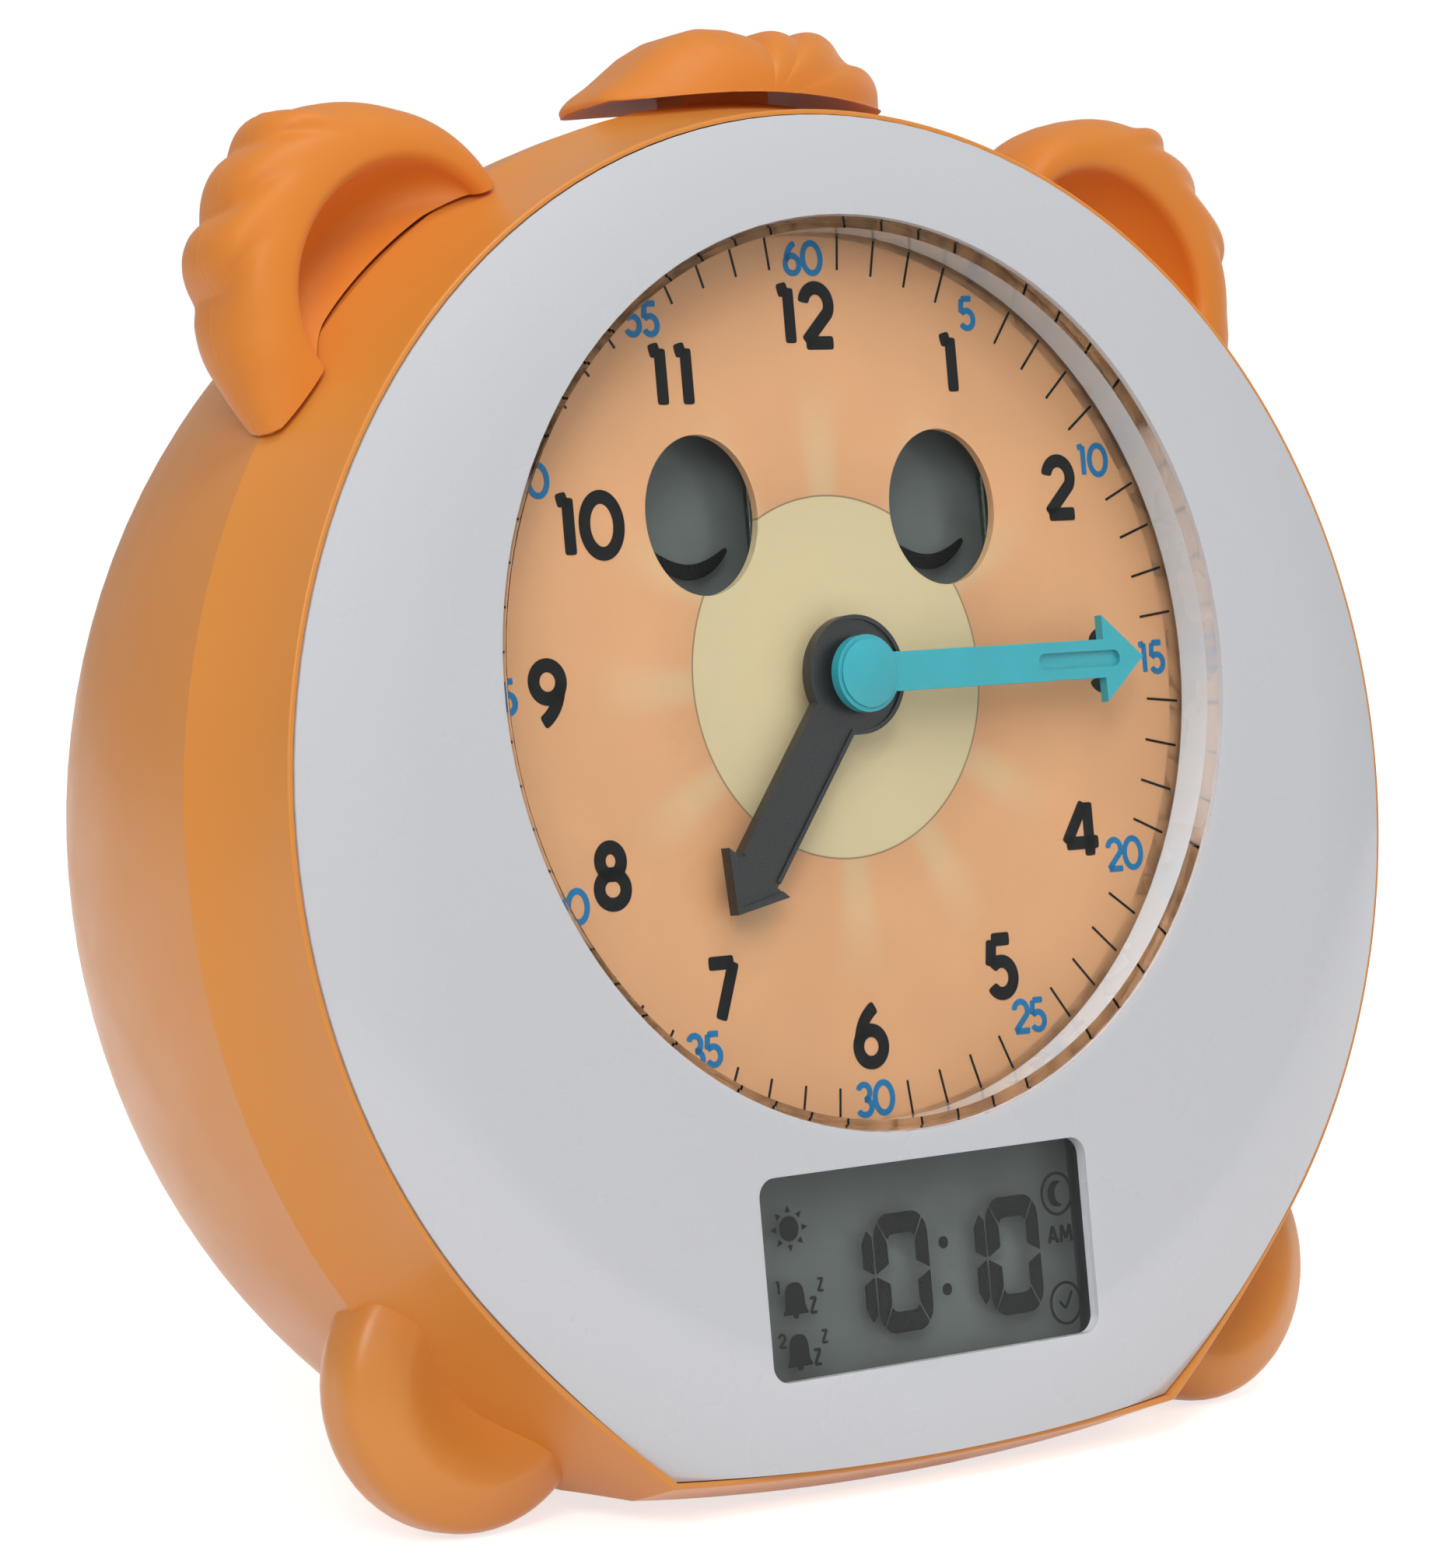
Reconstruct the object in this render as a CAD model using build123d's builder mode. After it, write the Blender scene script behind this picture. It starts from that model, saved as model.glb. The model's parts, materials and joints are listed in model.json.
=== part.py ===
from build123d import *
import os
from math import cos, radians, sin, sqrt

# Children's alarm clock with two ears, two feet, a hand dial, a small digital display and a
# night light behind its white front. Millimetres and degrees. X is to the right of someone who
# faces the dial, +Z is up, the dial faces -Y, and the origin is on the table in the middle of
# the footprint. Heights called "level" are measured square to the dial, from its printed face:
# positive towards the viewer, negative into the clock.

# ------------------------------------------------------------------ stance
LEAN = 8.2  # the face leans back from upright
SEAM_RADIUS = 96.0  # widest circle of the body, where front and rear housings meet
SEAM_DROP = 18.2  # its centre below the dial centre
SEAM_TOP = SEAM_RADIUS - SEAM_DROP
DIAL_HEIGHT = SEAM_RADIUS + 8.9  # dial centre above the table
UNDERSIDE_GAP = 1.0  # table to the lowest point of the body's underside
UNDERSIDE_RADIUS = 320.0  # the underside is a very shallow arch across the clock

# ------------------------------------------------------------------ body outline
BEZEL_RADIUS = SEAM_RADIUS - 6.0  # white front, upper part
BEZEL_DROP = 16.5  # its centre below the dial centre
BEZEL_CORNER = (3.47, -63.57)  # lower corner: beyond the radius, and its angle
BEZEL_FOOT = 4.3 - BEZEL_RADIUS - BEZEL_DROP  # middle of the bottom edge
RIM_BORDER = 0.8  # coloured rim seen round the white front
RIM_LEVEL = 6.5
RIM_ROUND = 0.35
OVERCUT = 1.0  # how far a cutter runs past the face it opens
BELT_RADIUS = SEAM_RADIUS - 4.1  # housing at the dial's level
BELT_DROP = 16.8
BELT_CORNER = (4.12, -63.06)
BELT_FOOT = 3.5 - BELT_RADIUS - BELT_DROP
SEAM_LEVEL = -9.5
PARTING = (0.25, 0.4)  # width and depth of the line between the housings
FLARE_ANGLE = 42.0  # below this the sides leave the circle for the corners
SEAM_CORNER_ANGLE = 60.0
BACK_LEVEL = -67.0  # flat back
BACK_TOP = SEAM_RADIUS - 40.2  # its top above the dial centre
DOME_LEVEL = -71.7  # level where the dome's curve would close
DOME_POWER = 1.84
DOME_ROOT = 8.0
DOME_STEPS = (0, 0.3, 0.55, 0.75, 0.9, 1)  # where along its depth the dome's curve is pinned
WALL = 2.4

# ------------------------------------------------------------------ front bezel and panes
WINDOW_RADIUS = 60.0  # opening round the dial
BEZEL_LEVEL = 9.6
BEZEL_WALL = 2.2
ROLL_START = BEZEL_RADIUS - 16.0  # the white face starts to roll off outside this radius
ROLL_END = BEZEL_RADIUS + 10.0
ROLL_RADIUS = 47.0
BEZEL_GAP = 0.15
DISPLAY_CENTRE = (0.0, -76.7)
DISPLAY_SIZE = (55.0, 26.2)
DISPLAY_CORNER = 2.5
DISPLAY_LIP = 1.6
DISPLAY_RECESS = 0.8
PANE_THICKNESS = 1.6
PANE_LEVEL = 9.4
PANE_WALL = 1.4
PANE_GAP = 0.2
PANE_FLANGE_THICKNESS = 1.2
PANE_EASE = 0.4
RETURN_WALL = 1.8  # wall behind the window's edge, which clamps the pane's flange
BEZEL_SCREW_TOP = 4.6
BOSS_RADIUS = 3.2
BEZEL_BOSSES = [(7.45, 41.32), (8.38, 14.55), (11.09, -42.69)]  # inward from the edge, and angle

# ------------------------------------------------------------------ dial, deck and displays
DIAL_THICKNESS = 1.2
DIAL_RADIUS = 61.4
DECK = 2.4  # front housing's wall behind the dial
DECK_RIM = 0.9
GLASS_GAP = 0.3
SMALL_SCREW = 1.1
SMALL_HEAD = 2.2
SMALL_HEAD_HEIGHT = 1.4
SCREW_TIP = 0.8
CHIP_PLACES = [(-28.0, 34.0), (28.0, 34.0)]
CHIP_SIZE = (10.0, 10.0, 1.5)
CHIP_CORNER = 1.0
WIRE_SLOT = (24.0, 3.0)
EYE_CENTRE = (20.2, 22.0)
EYE_HALF = (9.1, 10.5)
EYE_GLASS = (24.0, 26.0)
GLASS_THICKNESS = 2.6
EYE_GLASS_LEVEL = -4.8
CONNECTOR_WIDTH = 2.0
CONNECTOR_INSET = 2.0
BOARD = 1.6
MAIN_BOARD_LEVEL = -10.4
MAIN_BOARD_SIZE = (84.0, 84.0)
TAB_DROP = 16.3
MAIN_BOARD_TAB = (28.0, SEAM_TOP - TAB_DROP - MAIN_BOARD_SIZE[1] / 2 + DISPLAY_CORNER)
MAIN_BOARD_BOSSES = [(38.0, 38.0), (38.0, -37.0)]
TIME_GLASS = (60.0, 28.0)
TIME_GLASS_CENTRE = (0.0, -77.3)
TIME_GLASS_LEVEL = 4.8
LIGHT_BOARD_RADII = (65.2, 69.0)
LIGHT_BOARD_START = -48.0
LED_SIZE = (3.5, 2.8, 1.9)
LED_COUNT = 13

# ------------------------------------------------------------------ hands
HOUR_ANGLE = -127.5  # the hands show a quarter past seven
MINUTE_ANGLE = 0.0
MINUTE_LENGTH = 48.2
MINUTE_WIDTH = 5.2
MINUTE_BARB = (7.0, 11.8)
MINUTE_BOSS = 5.1
MINUTE_SLOT = (14.5, 2.2)
MINUTE_LEVELS = (5.0, 6.4)
MINUTE_CAP_LEVEL = 7.4
HOUR_LENGTH = 37.8
HOUR_WIDTH = 7.2
HOUR_BARB = (6.6, 11.6)
HOUR_BOSS = 7.9
HOUR_LEVELS = (2.4, 4.2)
HAND_EDGE = 0.6
MINUTE_SLOT_PLACE = 11.5

# ------------------------------------------------------------------ movement
RUNNING = 0.05  # radial running clearance of every arbor and pipe
ARBOR_RADIUS = 1.5
PIPE_WALL = 0.95
HUB_RADIUS = 4.0
HUB_SHOULDER = 6.5
NUT_RADIUS = 5.6
NUT_THICKNESS = 2.0
CASE_SIZE = (64.0, 59.0)
CASE_CENTRE = (1.0, -2.5)
CASE_WALL = 1.4
CASE_FRONT = -13.0
CASE_SPLIT = -19.0
CASE_BACK = -31.0
CASE_CORNER = 3.0
PLATE = 1.0
WHEEL = 1.0
PINION = 1.6
LAYER_GAP = 1.0
MODULE = 0.5
CENTRE_TEETH = 48
STEP_PINION = 12
STEP_WHEEL = 40
ROTOR_PINION = 10
CANNON_PINION = 12
MOTION_WHEEL = 36
MOTION_PINION = 10
HOUR_WHEEL = 40
SETTING_PINION = 12
ROTOR_ANGLE = 200.0
SETTING_ANGLE = 30.0
ROOT_SHARE = 1.12  # half tooth at the root circle, in quarter pitches
TIP_SHARE = 0.36
PIVOT_RADIUS = 0.8
ROTOR_RADIUS = 3.4
STATOR_GAP = 0.5
COIL_RADIUS = 2.4
COIL_SPAN = (11.5, 28.5)
COIL_ROW = -24.0
COIL_FLANGE = 0.5
ROTOR_LEVELS = (-28.6, -25.4)
STATOR_LEVEL = -26.6
STATOR_THICKNESS = 1.0
STATOR_ARM = 5.2
STATOR_BAR = 2.0
STATOR_DEPTH = 5.8
STATOR_POSTS = [(-15.0, -28.8), (29.5, -28.8)]
STATOR_POST = 1.0

# ------------------------------------------------------------------ ears, tuft and feet
EAR_ANGLE = 48.0
EAR_LEVELS = (-28.0, -3.0)
EAR_GAP = 0.3
EAR = {  # from the point of the seam at the ear's angle
    "root": (-20.74, 13.36),
    "crown": (-7.24, 24.46),
    "notch_a": (6.56, 20.66),
    "lobe_a": (10.56, 16.86),
    "notch_b": (11.76, 10.46),
    "lobe_b": (15.96, 3.86),
    "notch_c": (14.16, -3.34),
    "lobe_c": (16.16, -10.64),
    "tip": (15.76, -18.34),
    "heel": (4.56, -26.64),
    "instep": (-25.74, 1.06),
}
EAR_ROUND = 5.0
EAR_NOTCH = 1.5
EAR_BOWL = (13.5, 19.0)
TONGUE_WIDTH = 24.0  # root of a soft ear, pulled through a slot in the rear housing
TONGUE_LEVEL = -21.5
TONGUE_THICKNESS = 6.0
TONGUE_HEAD = 3.0
TONGUE_BARB = 2.0
TONGUE_GAP = 0.2
TUFT_LEVELS = (-27.0, -3.5)
TUFT_TRAVEL = 2.0
TUFT_GAP = TUFT_TRAVEL + EAR_GAP
TUFT = {  # from the seam's top
    "tail": (-19.5, -3.8),
    "shoulder": (-14.5, 3.7),
    "crown": (-3.0, 9.7),
    "notch_a": (4.0, 8.5),
    "lobe_a": (6.7, 10.0),
    "notch_b": (9.6, 8.7),
    "lobe_b": (12.8, 9.6),
    "notch_c": (15.2, 6.4),
    "lobe_c": (19.6, 4.0),
    "end": (19.3, -1.8),
    "under_end": (17.0, -11.8),
    "under_tail": (-17.0, -11.8),
}
TUFT_ROUND = 4.0
STEM = (14.0, 6.4)
STEM_LEVEL = -16.0
STEM_GAP = 0.4
STEM_END = SEAM_TOP - 11.6
FLANGE = (27.0, 1.8)
FLANGE_DROP = 1.4  # the wall curves down over the length of the flange
SHELF = (8.0, 1.6, 9.0)
SHELF_HEIGHT = SEAM_TOP - 12.8
SPRING_ROW = 11.0
SPRING_RADIUS = 2.2
SPRING_WIRE = 0.35
SPRING_TURNS = 4
SNOOZE_SWITCH = (7.0, 6.0, 7.0)
SWITCH_ROW = SEAM_TOP - 18.3
PLUNGER_RADIUS = 1.6
PLUNGER_HEIGHT = 0.8
FOOT_INSET = 4.58  # foot's centre, inward from the seam
FOOT_ANGLE = -47.22
FOOT_RADIUS = 19.0
# Radius from the lobe's middle and rise above the seam
FOOT_FRONT = [(0.0, 2.1), (5.0, 2.9), (9.5, 4.6), (13.0, 5.4), (16.4, 4.0), (FOOT_RADIUS, 0.0)]
FOOT_DEPTH = 8.0  # behind the seam
FOOT_ROUND = 6.0
PAD_RADIUS = 6.0
PAD_PLACE = (28.0, 12.0)  # across and back on the table
PAD_HEIGHT = 6.0

# ------------------------------------------------------------------ rear
BACK_BOSSES = [(15.2, 60.32), (15.98, -1.29), (19.55, -53.94)]  # inward from the seam, and angle
BACK_BOSS_RADIUS = 5.0
SCREW_RADIUS = 1.5
SCREW_HEAD = 2.8
SCREW_FLOOR = -20.0
CELL_RADIUS = 7.2
CELL_LENGTH = 50.0
CELL_COUNT = 3
CELL_PITCH = 15.0
BAY_CENTRE = (0.0, -52.0)
BAY_SIZE = (CELL_LENGTH + 7.0, CELL_COUNT * CELL_PITCH + 1.0)
BAY_WALL = 1.6
CELL_CLEARANCE = 1.2
DOOR_THICKNESS = 1.8
DOOR_GAP = 0.35
DOOR_LAP = 3.0
DOOR_CORNER = 3.0
DOOR_SCREW_INSET = 6.5
DOOR_BOSS = 7.0
DOOR_EAR = (13.0, 9.0)
SPEAKER_CENTRE = (-33.0, 16.0)
SPEAKER_RADIUS = 18.0
GRILLE_PITCH = 4.4
GRILLE_HOLE = 1.2
GRILLE_ROWS = 7
BUTTON_RADIUS = 3.6
BUTTON_GAP = 0.35
BUTTON_TRAVEL = 0.7
BUTTON_DEPTH = 8.0
BUTTON_BOARD_BOSSES = [(43.5, 33.0), (41.5, -6.5)]
SWITCH_BODY = 6.2
SWITCH_BODY_HEIGHT = 3.5
SPEAKER_SEAT = 3.0
SPEAKER_DISH = 4.0
SPEAKER_EDGE = 3.0
SPEAKER_MAGNET = 9.0
SPEAKER_DEPTH = 12.0
CELL_NUB = 1.4
CELL_NUB_RADIUS = 2.6
CONTACT = 0.5
CONTACT_WIDTH = 11.0
CONTACT_LEAF = 3.0
DOOR_RIB = 1.6
DOOR_RIBS = 5
DOOR_RIB_PITCH = 3.6
DOOR_RIB_LENGTH = 16.0
DOOR_SCREW_REACH = 4.0
BUTTON_STAND = 1.4
BUTTON_FLANGE = 1.5
BUTTON_ROUND = 0.5
BUTTON_BOARD_CENTRE = (41.5, 8.0)
BUTTON_BOARD_SIZE = (26.0, 58.0)
SLIDE_BODY = (12.0, 8.0, 4.5)
SLIDE_TANG = (3.0, 2.4, 2.0)
BUTTON_PLACES = {
    "time_set_button": (34.0, 30.0),
    "alarm_one_button": (34.0, 16.0),
    "alarm_two_button": (34.0, 2.0),
    "up_button": (49.0, 16.0),
    "down_button": (49.0, 2.0),
}
SWITCH_PLACE = (48.0, -14.0)
SWITCH_SLOT = (13.0, 4.0)
SWITCH_TRAVEL = 3.0
KNOB_RADIUS = 8.0
KNOB_HEIGHT = 4.0
KNOB_FLUTES = 12
KNOB_FLUTE = 0.9

# ------------------------------------------------------------------ planes worked out from the sizes
lean = radians(LEAN)
front_reach = RIM_LEVEL * cos(lean) - BELT_FOOT * sin(lean)
back_reach = -BACK_LEVEL * cos(lean) + BACK_TOP * sin(lean)
dial_y = (front_reach - back_reach) / 2  # centres the footprint on the origin
outward = Vector(0, -cos(lean), sin(lean))
face = Plane(origin=(0, dial_y, DIAL_HEIGHT), x_dir=(1, 0, 0), z_dir=outward)
REACH = 400.0


def level(height):
    """The plane parallel to the dial at a height in front of it."""
    return face.offset(height)


def spot(x, y, height=0):
    """A point given across and up the dial and in front of it, in the clock's own frame."""
    return face.from_local_coords((x, y, height))


def section(x=0.0, y=0.0):
    """The plane square to the dial through a point of it: local x is radius, local y is level."""
    return Plane(origin=spot(x, y), x_dir=(1, 0, 0), z_dir=-face.y_dir)


def square_axis(x=0.0, y=0.0):
    """The axis square to the dial through a point of it."""
    return Axis(spot(x, y), outward)


def body_face(radius, drop, corner, foot, grow=0.0):
    """The body's outline: a circle, two flared sides down to the corners and a shallow bottom."""
    angle = radians(FLARE_ANGLE)
    radius += grow
    flare = (radius * cos(angle), -drop - radius * sin(angle))
    right = (corner[0] + grow, corner[1] - grow)
    left = (-right[0], right[1])
    with BuildSketch() as outline:
        with BuildLine():
            ThreePointArc((-flare[0], flare[1]), (0, radius - drop), flare)
            TangentArc(flare, right, tangent=(-sin(angle), -cos(angle)))
            ThreePointArc(right, (0, foot - grow), left)
            TangentArc((-flare[0], flare[1]), left, tangent=(sin(angle), -cos(angle)))
        make_face()
    return outline.sketch


def seam_face(grow=0.0):
    """The same outline at the seam, where it is a plain circle."""
    angle = radians(SEAM_CORNER_ANGLE)
    corner = (SEAM_RADIUS * cos(angle), -SEAM_DROP - SEAM_RADIUS * sin(angle))
    radius = SEAM_RADIUS + grow
    grown = (radius * cos(angle) - grow, -SEAM_DROP - radius * sin(angle) + grow)
    return body_face(SEAM_RADIUS, SEAM_DROP, grown, -SEAM_DROP - SEAM_RADIUS, grow)


def belt_face(grow=0.0):
    step, angle = BELT_CORNER
    corner = polar(BELT_RADIUS + step, angle, (0, -BELT_DROP))
    return body_face(BELT_RADIUS, BELT_DROP, corner, BELT_FOOT, grow)


def bezel_face(grow=0.0):
    step, angle = BEZEL_CORNER
    corner = polar(BEZEL_RADIUS + step, angle, (0, -BEZEL_DROP))
    return body_face(BEZEL_RADIUS, BEZEL_DROP, corner, BEZEL_FOOT, grow)


def dome_radius(height, grow=0.0):
    """Radius of the rear dome at a level."""
    share = (height - SEAM_LEVEL) / (DOME_LEVEL - SEAM_LEVEL)
    return SEAM_RADIUS * (1 - share**DOME_POWER) ** (1 / DOME_ROOT) + grow


def below(height):
    """Everything under the body's shallow underside, raised by height."""
    apex = UNDERSIDE_GAP + height
    edge = apex + REACH**2 / (2 * UNDERSIDE_RADIUS)
    with BuildPart() as ground:
        with BuildSketch(Plane.XZ):
            with BuildLine():
                ThreePointArc((-REACH, edge), (0, apex), (REACH, edge))
                Polyline((REACH, edge), (REACH, -REACH), (-REACH, -REACH), (-REACH, edge))
            make_face()
        extrude(amount=REACH, both=True)
    return ground.part


def front_blank(grow=0.0):
    """The front housing's outer form, from the seam to the rim, all solid."""
    with BuildPart() as blank:
        with BuildSketch(level(SEAM_LEVEL)):
            add(seam_face(grow))
        with BuildSketch(level(0)):
            add(belt_face(grow))
        with BuildSketch(level(RIM_LEVEL)):
            add(bezel_face(RIM_BORDER + grow))
        loft()
    return blank.part


def dome_blank(grow=0.0):
    """The rear housing's form from the seam to the flat back, all solid, grown or shrunk."""
    back = BACK_LEVEL - grow
    levels = [SEAM_LEVEL + (back - SEAM_LEVEL) * step for step in DOME_STEPS]
    outer = [(dome_radius(height, grow), height) for height in levels]
    with BuildPart() as blank:
        with BuildSketch(section(0, -SEAM_DROP)):
            with BuildLine():
                Spline(*outer)
                Polyline(outer[-1], (0, back), (0, SEAM_LEVEL), outer[0])
            make_face()
        revolve(axis=square_axis(0, -SEAM_DROP))
    return blank.part


def ring(places):
    """Each place and its mirror image on the other side of the clock."""
    return [(side * x, y) for x, y in places for side in (-1, 1)]


def slab(shape, low, high):
    """A flat piece between two levels, from an outline across the dial."""
    with BuildPart() as piece:
        with BuildSketch(level(low)):
            add(shape)
        extrude(amount=high - low)
    return piece.part


def posts(places, radius, low, high, bore=0.0):
    """Round posts between two levels, bored if wanted."""
    with BuildPart() as piece:
        with BuildSketch(level(low)):
            with Locations(*places):
                Circle(radius)
            if bore:
                with Locations(*places):
                    Circle(bore, mode=Mode.SUBTRACT)
        extrude(amount=high - low)
    return piece.part


def block(centre, size, low, high, corner=0.0):
    """A rectangular piece between two levels, with rounded corners if wanted."""
    with BuildPart() as piece:
        with BuildSketch(level(low)):
            with Locations(centre):
                if corner:
                    RectangleRounded(size[0], size[1], corner)
                else:
                    Rectangle(*size)
        extrude(amount=high - low)
    return piece.part


def turned(profile, x=0.0, y=0.0):
    """A turned piece about an axis square to the dial, from its (radius, level) profile."""
    with BuildPart() as piece:
        with BuildSketch(section(x, y)):
            with BuildLine():
                Polyline(*profile, close=True)
            make_face()
        revolve(axis=square_axis(x, y))
    return piece.part


def grown(size, margin):
    """A rectangle's size with a margin added on every side."""
    return (size[0] + 2 * margin, size[1] + 2 * margin)


def away(edge, place):
    """Distance across the dial from an edge's middle to a place."""
    middle = face.to_local_coords(edge.center())
    return sqrt((middle.X - place[0]) ** 2 + (middle.Y - place[1]) ** 2)


def polar(radius, angle, centre=(0.0, 0.0)):
    return (centre[0] + radius * cos(radians(angle)), centre[1] + radius * sin(radians(angle)))


def gear_face(teeth, turn, centre, module=MODULE):
    """A straight-flanked spur gear outline with running backlash, one tooth at angle turn."""
    pitch = module * teeth / 2
    tip, root = pitch + 0.85 * module, pitch - 1.1 * module
    half = 90 / teeth
    outline = []
    for tooth in range(teeth):
        middle = turn + 360 * tooth / teeth
        outline.append((root, middle - half * ROOT_SHARE))
        outline.append((tip, middle - half * TIP_SHARE))
        outline.append((tip, middle + half * TIP_SHARE))
        outline.append((root, middle + half * ROOT_SHARE))
    points = [polar(radius, angle, centre) for radius, angle in outline]
    with BuildSketch() as wheel:
        with BuildLine():
            Polyline(*points, close=True)
        make_face()
    return wheel.sketch


def hand_face(angle, width, length, barb, boss):
    """A hand: round boss, straight bar and an arrow head, pointing along angle."""
    with BuildSketch() as hand:
        Circle(boss)
        with BuildLine():
            Polyline(
                (0, width / 2),
                (length - barb[0], width / 2),
                (length - barb[0], barb[1] / 2),
                (length, 0),
                (length - barb[0], -barb[1] / 2),
                (length - barb[0], -width / 2),
                (0, -width / 2),
                close=True,
            )
        make_face()
    return hand.sketch.rotate(Axis.Z, angle)


# ------------------------------------------------------------------ places worked out from the sizes
deck_front = -DIAL_THICKNESS
deck_back = deck_front - DECK
pipe_radius = ARBOR_RADIUS + RUNNING + PIPE_WALL
hub_bore = pipe_radius + RUNNING
step_centre = (0.0, -MODULE * (CENTRE_TEETH + STEP_PINION) / 2)
rotor_centre = polar(MODULE * (STEP_WHEEL + ROTOR_PINION) / 2, ROTOR_ANGLE, step_centre)
motion_centre = (0.0, MODULE * (CANNON_PINION + MOTION_WHEEL) / 2)
motion_module = MODULE * (CANNON_PINION + MOTION_WHEEL) / (MOTION_PINION + HOUR_WHEEL)
setting_centre = polar(MODULE * (MOTION_WHEEL + SETTING_PINION) / 2, SETTING_ANGLE, motion_centre)
eyes = [(-EYE_CENTRE[0], EYE_CENTRE[1]), EYE_CENTRE]
seam_centre = (0, -SEAM_DROP)
bezel_centre = (0, -BEZEL_DROP)
back_bosses = [polar(SEAM_RADIUS - inset, angle, seam_centre) for inset, angle in BACK_BOSSES]
bezel_bosses = [polar(BEZEL_RADIUS - inset, angle, bezel_centre) for inset, angle in BEZEL_BOSSES]
foot_centre = polar(SEAM_RADIUS - FOOT_INSET, FOOT_ANGLE, seam_centre)
ear_foot = polar(SEAM_RADIUS, EAR_ANGLE, seam_centre)
tuft = {name: (x, SEAM_TOP + y) for name, (x, y) in TUFT.items()}
back_inside = BACK_LEVEL + WALL
cell_level = back_inside + CELL_CLEARANCE + CELL_RADIUS
bay_floor = cell_level + CELL_RADIUS
time_glass_back = TIME_GLASS_LEVEL - GLASS_THICKNESS
cell_rows = [
    (BAY_CENTRE[0], BAY_CENTRE[1] + CELL_PITCH * (row - (CELL_COUNT - 1) / 2))
    for row in range(CELL_COUNT)
]
bay_half = BAY_SIZE[0] / 2
door_size = (BAY_SIZE[0] + 2 * DOOR_LAP, BAY_SIZE[1] + 2 * DOOR_LAP)
door_screw_place = (BAY_CENTRE[0], BAY_CENTRE[1] + BAY_SIZE[1] / 2 + DOOR_SCREW_INSET)
button_board_level = back_inside + BUTTON_DEPTH
switch_top = button_board_level - SWITCH_BODY_HEIGHT
flange_back = back_inside + PANE_GAP
knob_back = BACK_LEVEL - KNOB_HEIGHT


# ------------------------------------------------------------------ housings
scooped = [(radius, SEAM_LEVEL + rise) for radius, rise in FOOT_FRONT]
with BuildPart() as foot_fronts:
    for side in (-1, 1):
        middle = (side * foot_centre[0], foot_centre[1])
        with BuildSketch(section(*middle)):
            with BuildLine():
                Spline(*scooped, tangents=((1, 0), (0, -1)))
                Polyline(scooped[-1], (0, SEAM_LEVEL), scooped[0])
            make_face()
        revolve(axis=square_axis(*middle))

with BuildPart() as front_cavity:
    share = (deck_back - SEAM_LEVEL) / (0 - SEAM_LEVEL)
    with BuildSketch(level(SEAM_LEVEL)):
        add(seam_face(-WALL))
    with BuildSketch(level(deck_back)):
        add(belt_face((SEAM_RADIUS - BELT_RADIUS) * (1 - share) - WALL))
    loft(ruled=True)
    add(below(WALL), mode=Mode.SUBTRACT)


def tongue(side, grow):
    """An ear's root: a web through the wall and a wider head inside it."""
    angle = 90 - side * (90 - EAR_ANGLE)
    centre = (0, -SEAM_DROP)
    inside = SEAM_RADIUS - WALL - EAR_GAP - TONGUE_HEAD / 2
    web = EAR_ROUND + WALL + TONGUE_HEAD
    with BuildPart() as root:
        with BuildSketch(level(TONGUE_LEVEL - TONGUE_THICKNESS / 2 - grow)):
            with Locations(polar(inside + web / 2, angle, centre)):
                Rectangle(web, TONGUE_WIDTH + 2 * grow, rotation=angle)
            with Locations(polar(inside, angle, centre)):
                head = TONGUE_WIDTH + 2 * TONGUE_BARB + 2 * grow
                Rectangle(TONGUE_HEAD + 2 * grow, head, rotation=angle)
        extrude(amount=TONGUE_THICKNESS + 2 * grow)
    return root.part


with BuildPart() as parting_line:
    with BuildSketch(level(SEAM_LEVEL)):
        add(seam_face(OVERCUT))
        with Locations(*ring([foot_centre])):
            Circle(FOOT_RADIUS + OVERCUT)
        add(seam_face(-PARTING[1]), mode=Mode.SUBTRACT)
        with Locations(*ring([foot_centre])):
            Circle(FOOT_RADIUS - PARTING[1], mode=Mode.SUBTRACT)
    extrude(amount=PARTING[0])

with BuildPart() as front_housing:
    add(front_blank())
    rim = front_housing.faces().sort_by(Axis(face.origin, outward))[-1]
    fillet(rim.edges(), RIM_ROUND)
    add(below(0), mode=Mode.SUBTRACT)
    add(foot_fronts.part)
    split(bisect_by=Plane.XY, keep=Keep.TOP)
    add(front_cavity.part, mode=Mode.SUBTRACT)
    add(parting_line.part, mode=Mode.SUBTRACT)
    add(slab(bezel_face(BEZEL_GAP), deck_front, RIM_LEVEL + OVERCUT), mode=Mode.SUBTRACT)
    # rim that locates the dial, and the windows, hub hole and wire slot through the deck
    add(posts([(0, 0)], DIAL_RADIUS + PANE_GAP + DECK_RIM, deck_front, 0, DIAL_RADIUS + PANE_GAP))
    with BuildSketch(level(deck_back)):
        with Locations(*eyes):
            Rectangle(EYE_GLASS[0] + 2 * GLASS_GAP, EYE_GLASS[1] + 2 * GLASS_GAP)
        Circle(HUB_RADIUS + GLASS_GAP)
        with Locations((0, DISPLAY_CENTRE[1] + TIME_GLASS[1] / 2 + WIRE_SLOT[1])):
            Rectangle(*WIRE_SLOT)
    extrude(amount=DECK, mode=Mode.SUBTRACT)
    # posts for the main board and for the screws that join the housings, and bezel screw holes
    add(posts(ring(MAIN_BOARD_BOSSES), BOSS_RADIUS, MAIN_BOARD_LEVEL, deck_back, SMALL_SCREW))
    add(posts(ring(back_bosses), BACK_BOSS_RADIUS, SEAM_LEVEL, deck_back, SCREW_RADIUS))
    add(
        posts(ring(bezel_bosses), SMALL_SCREW + PANE_GAP, deck_back, deck_front),
        mode=Mode.SUBTRACT,
    )
front_housing.part.label = "front_housing"

with BuildPart() as dome_cavity:
    add(dome_blank(-WALL))
    add(below(WALL), mode=Mode.SUBTRACT)

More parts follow.
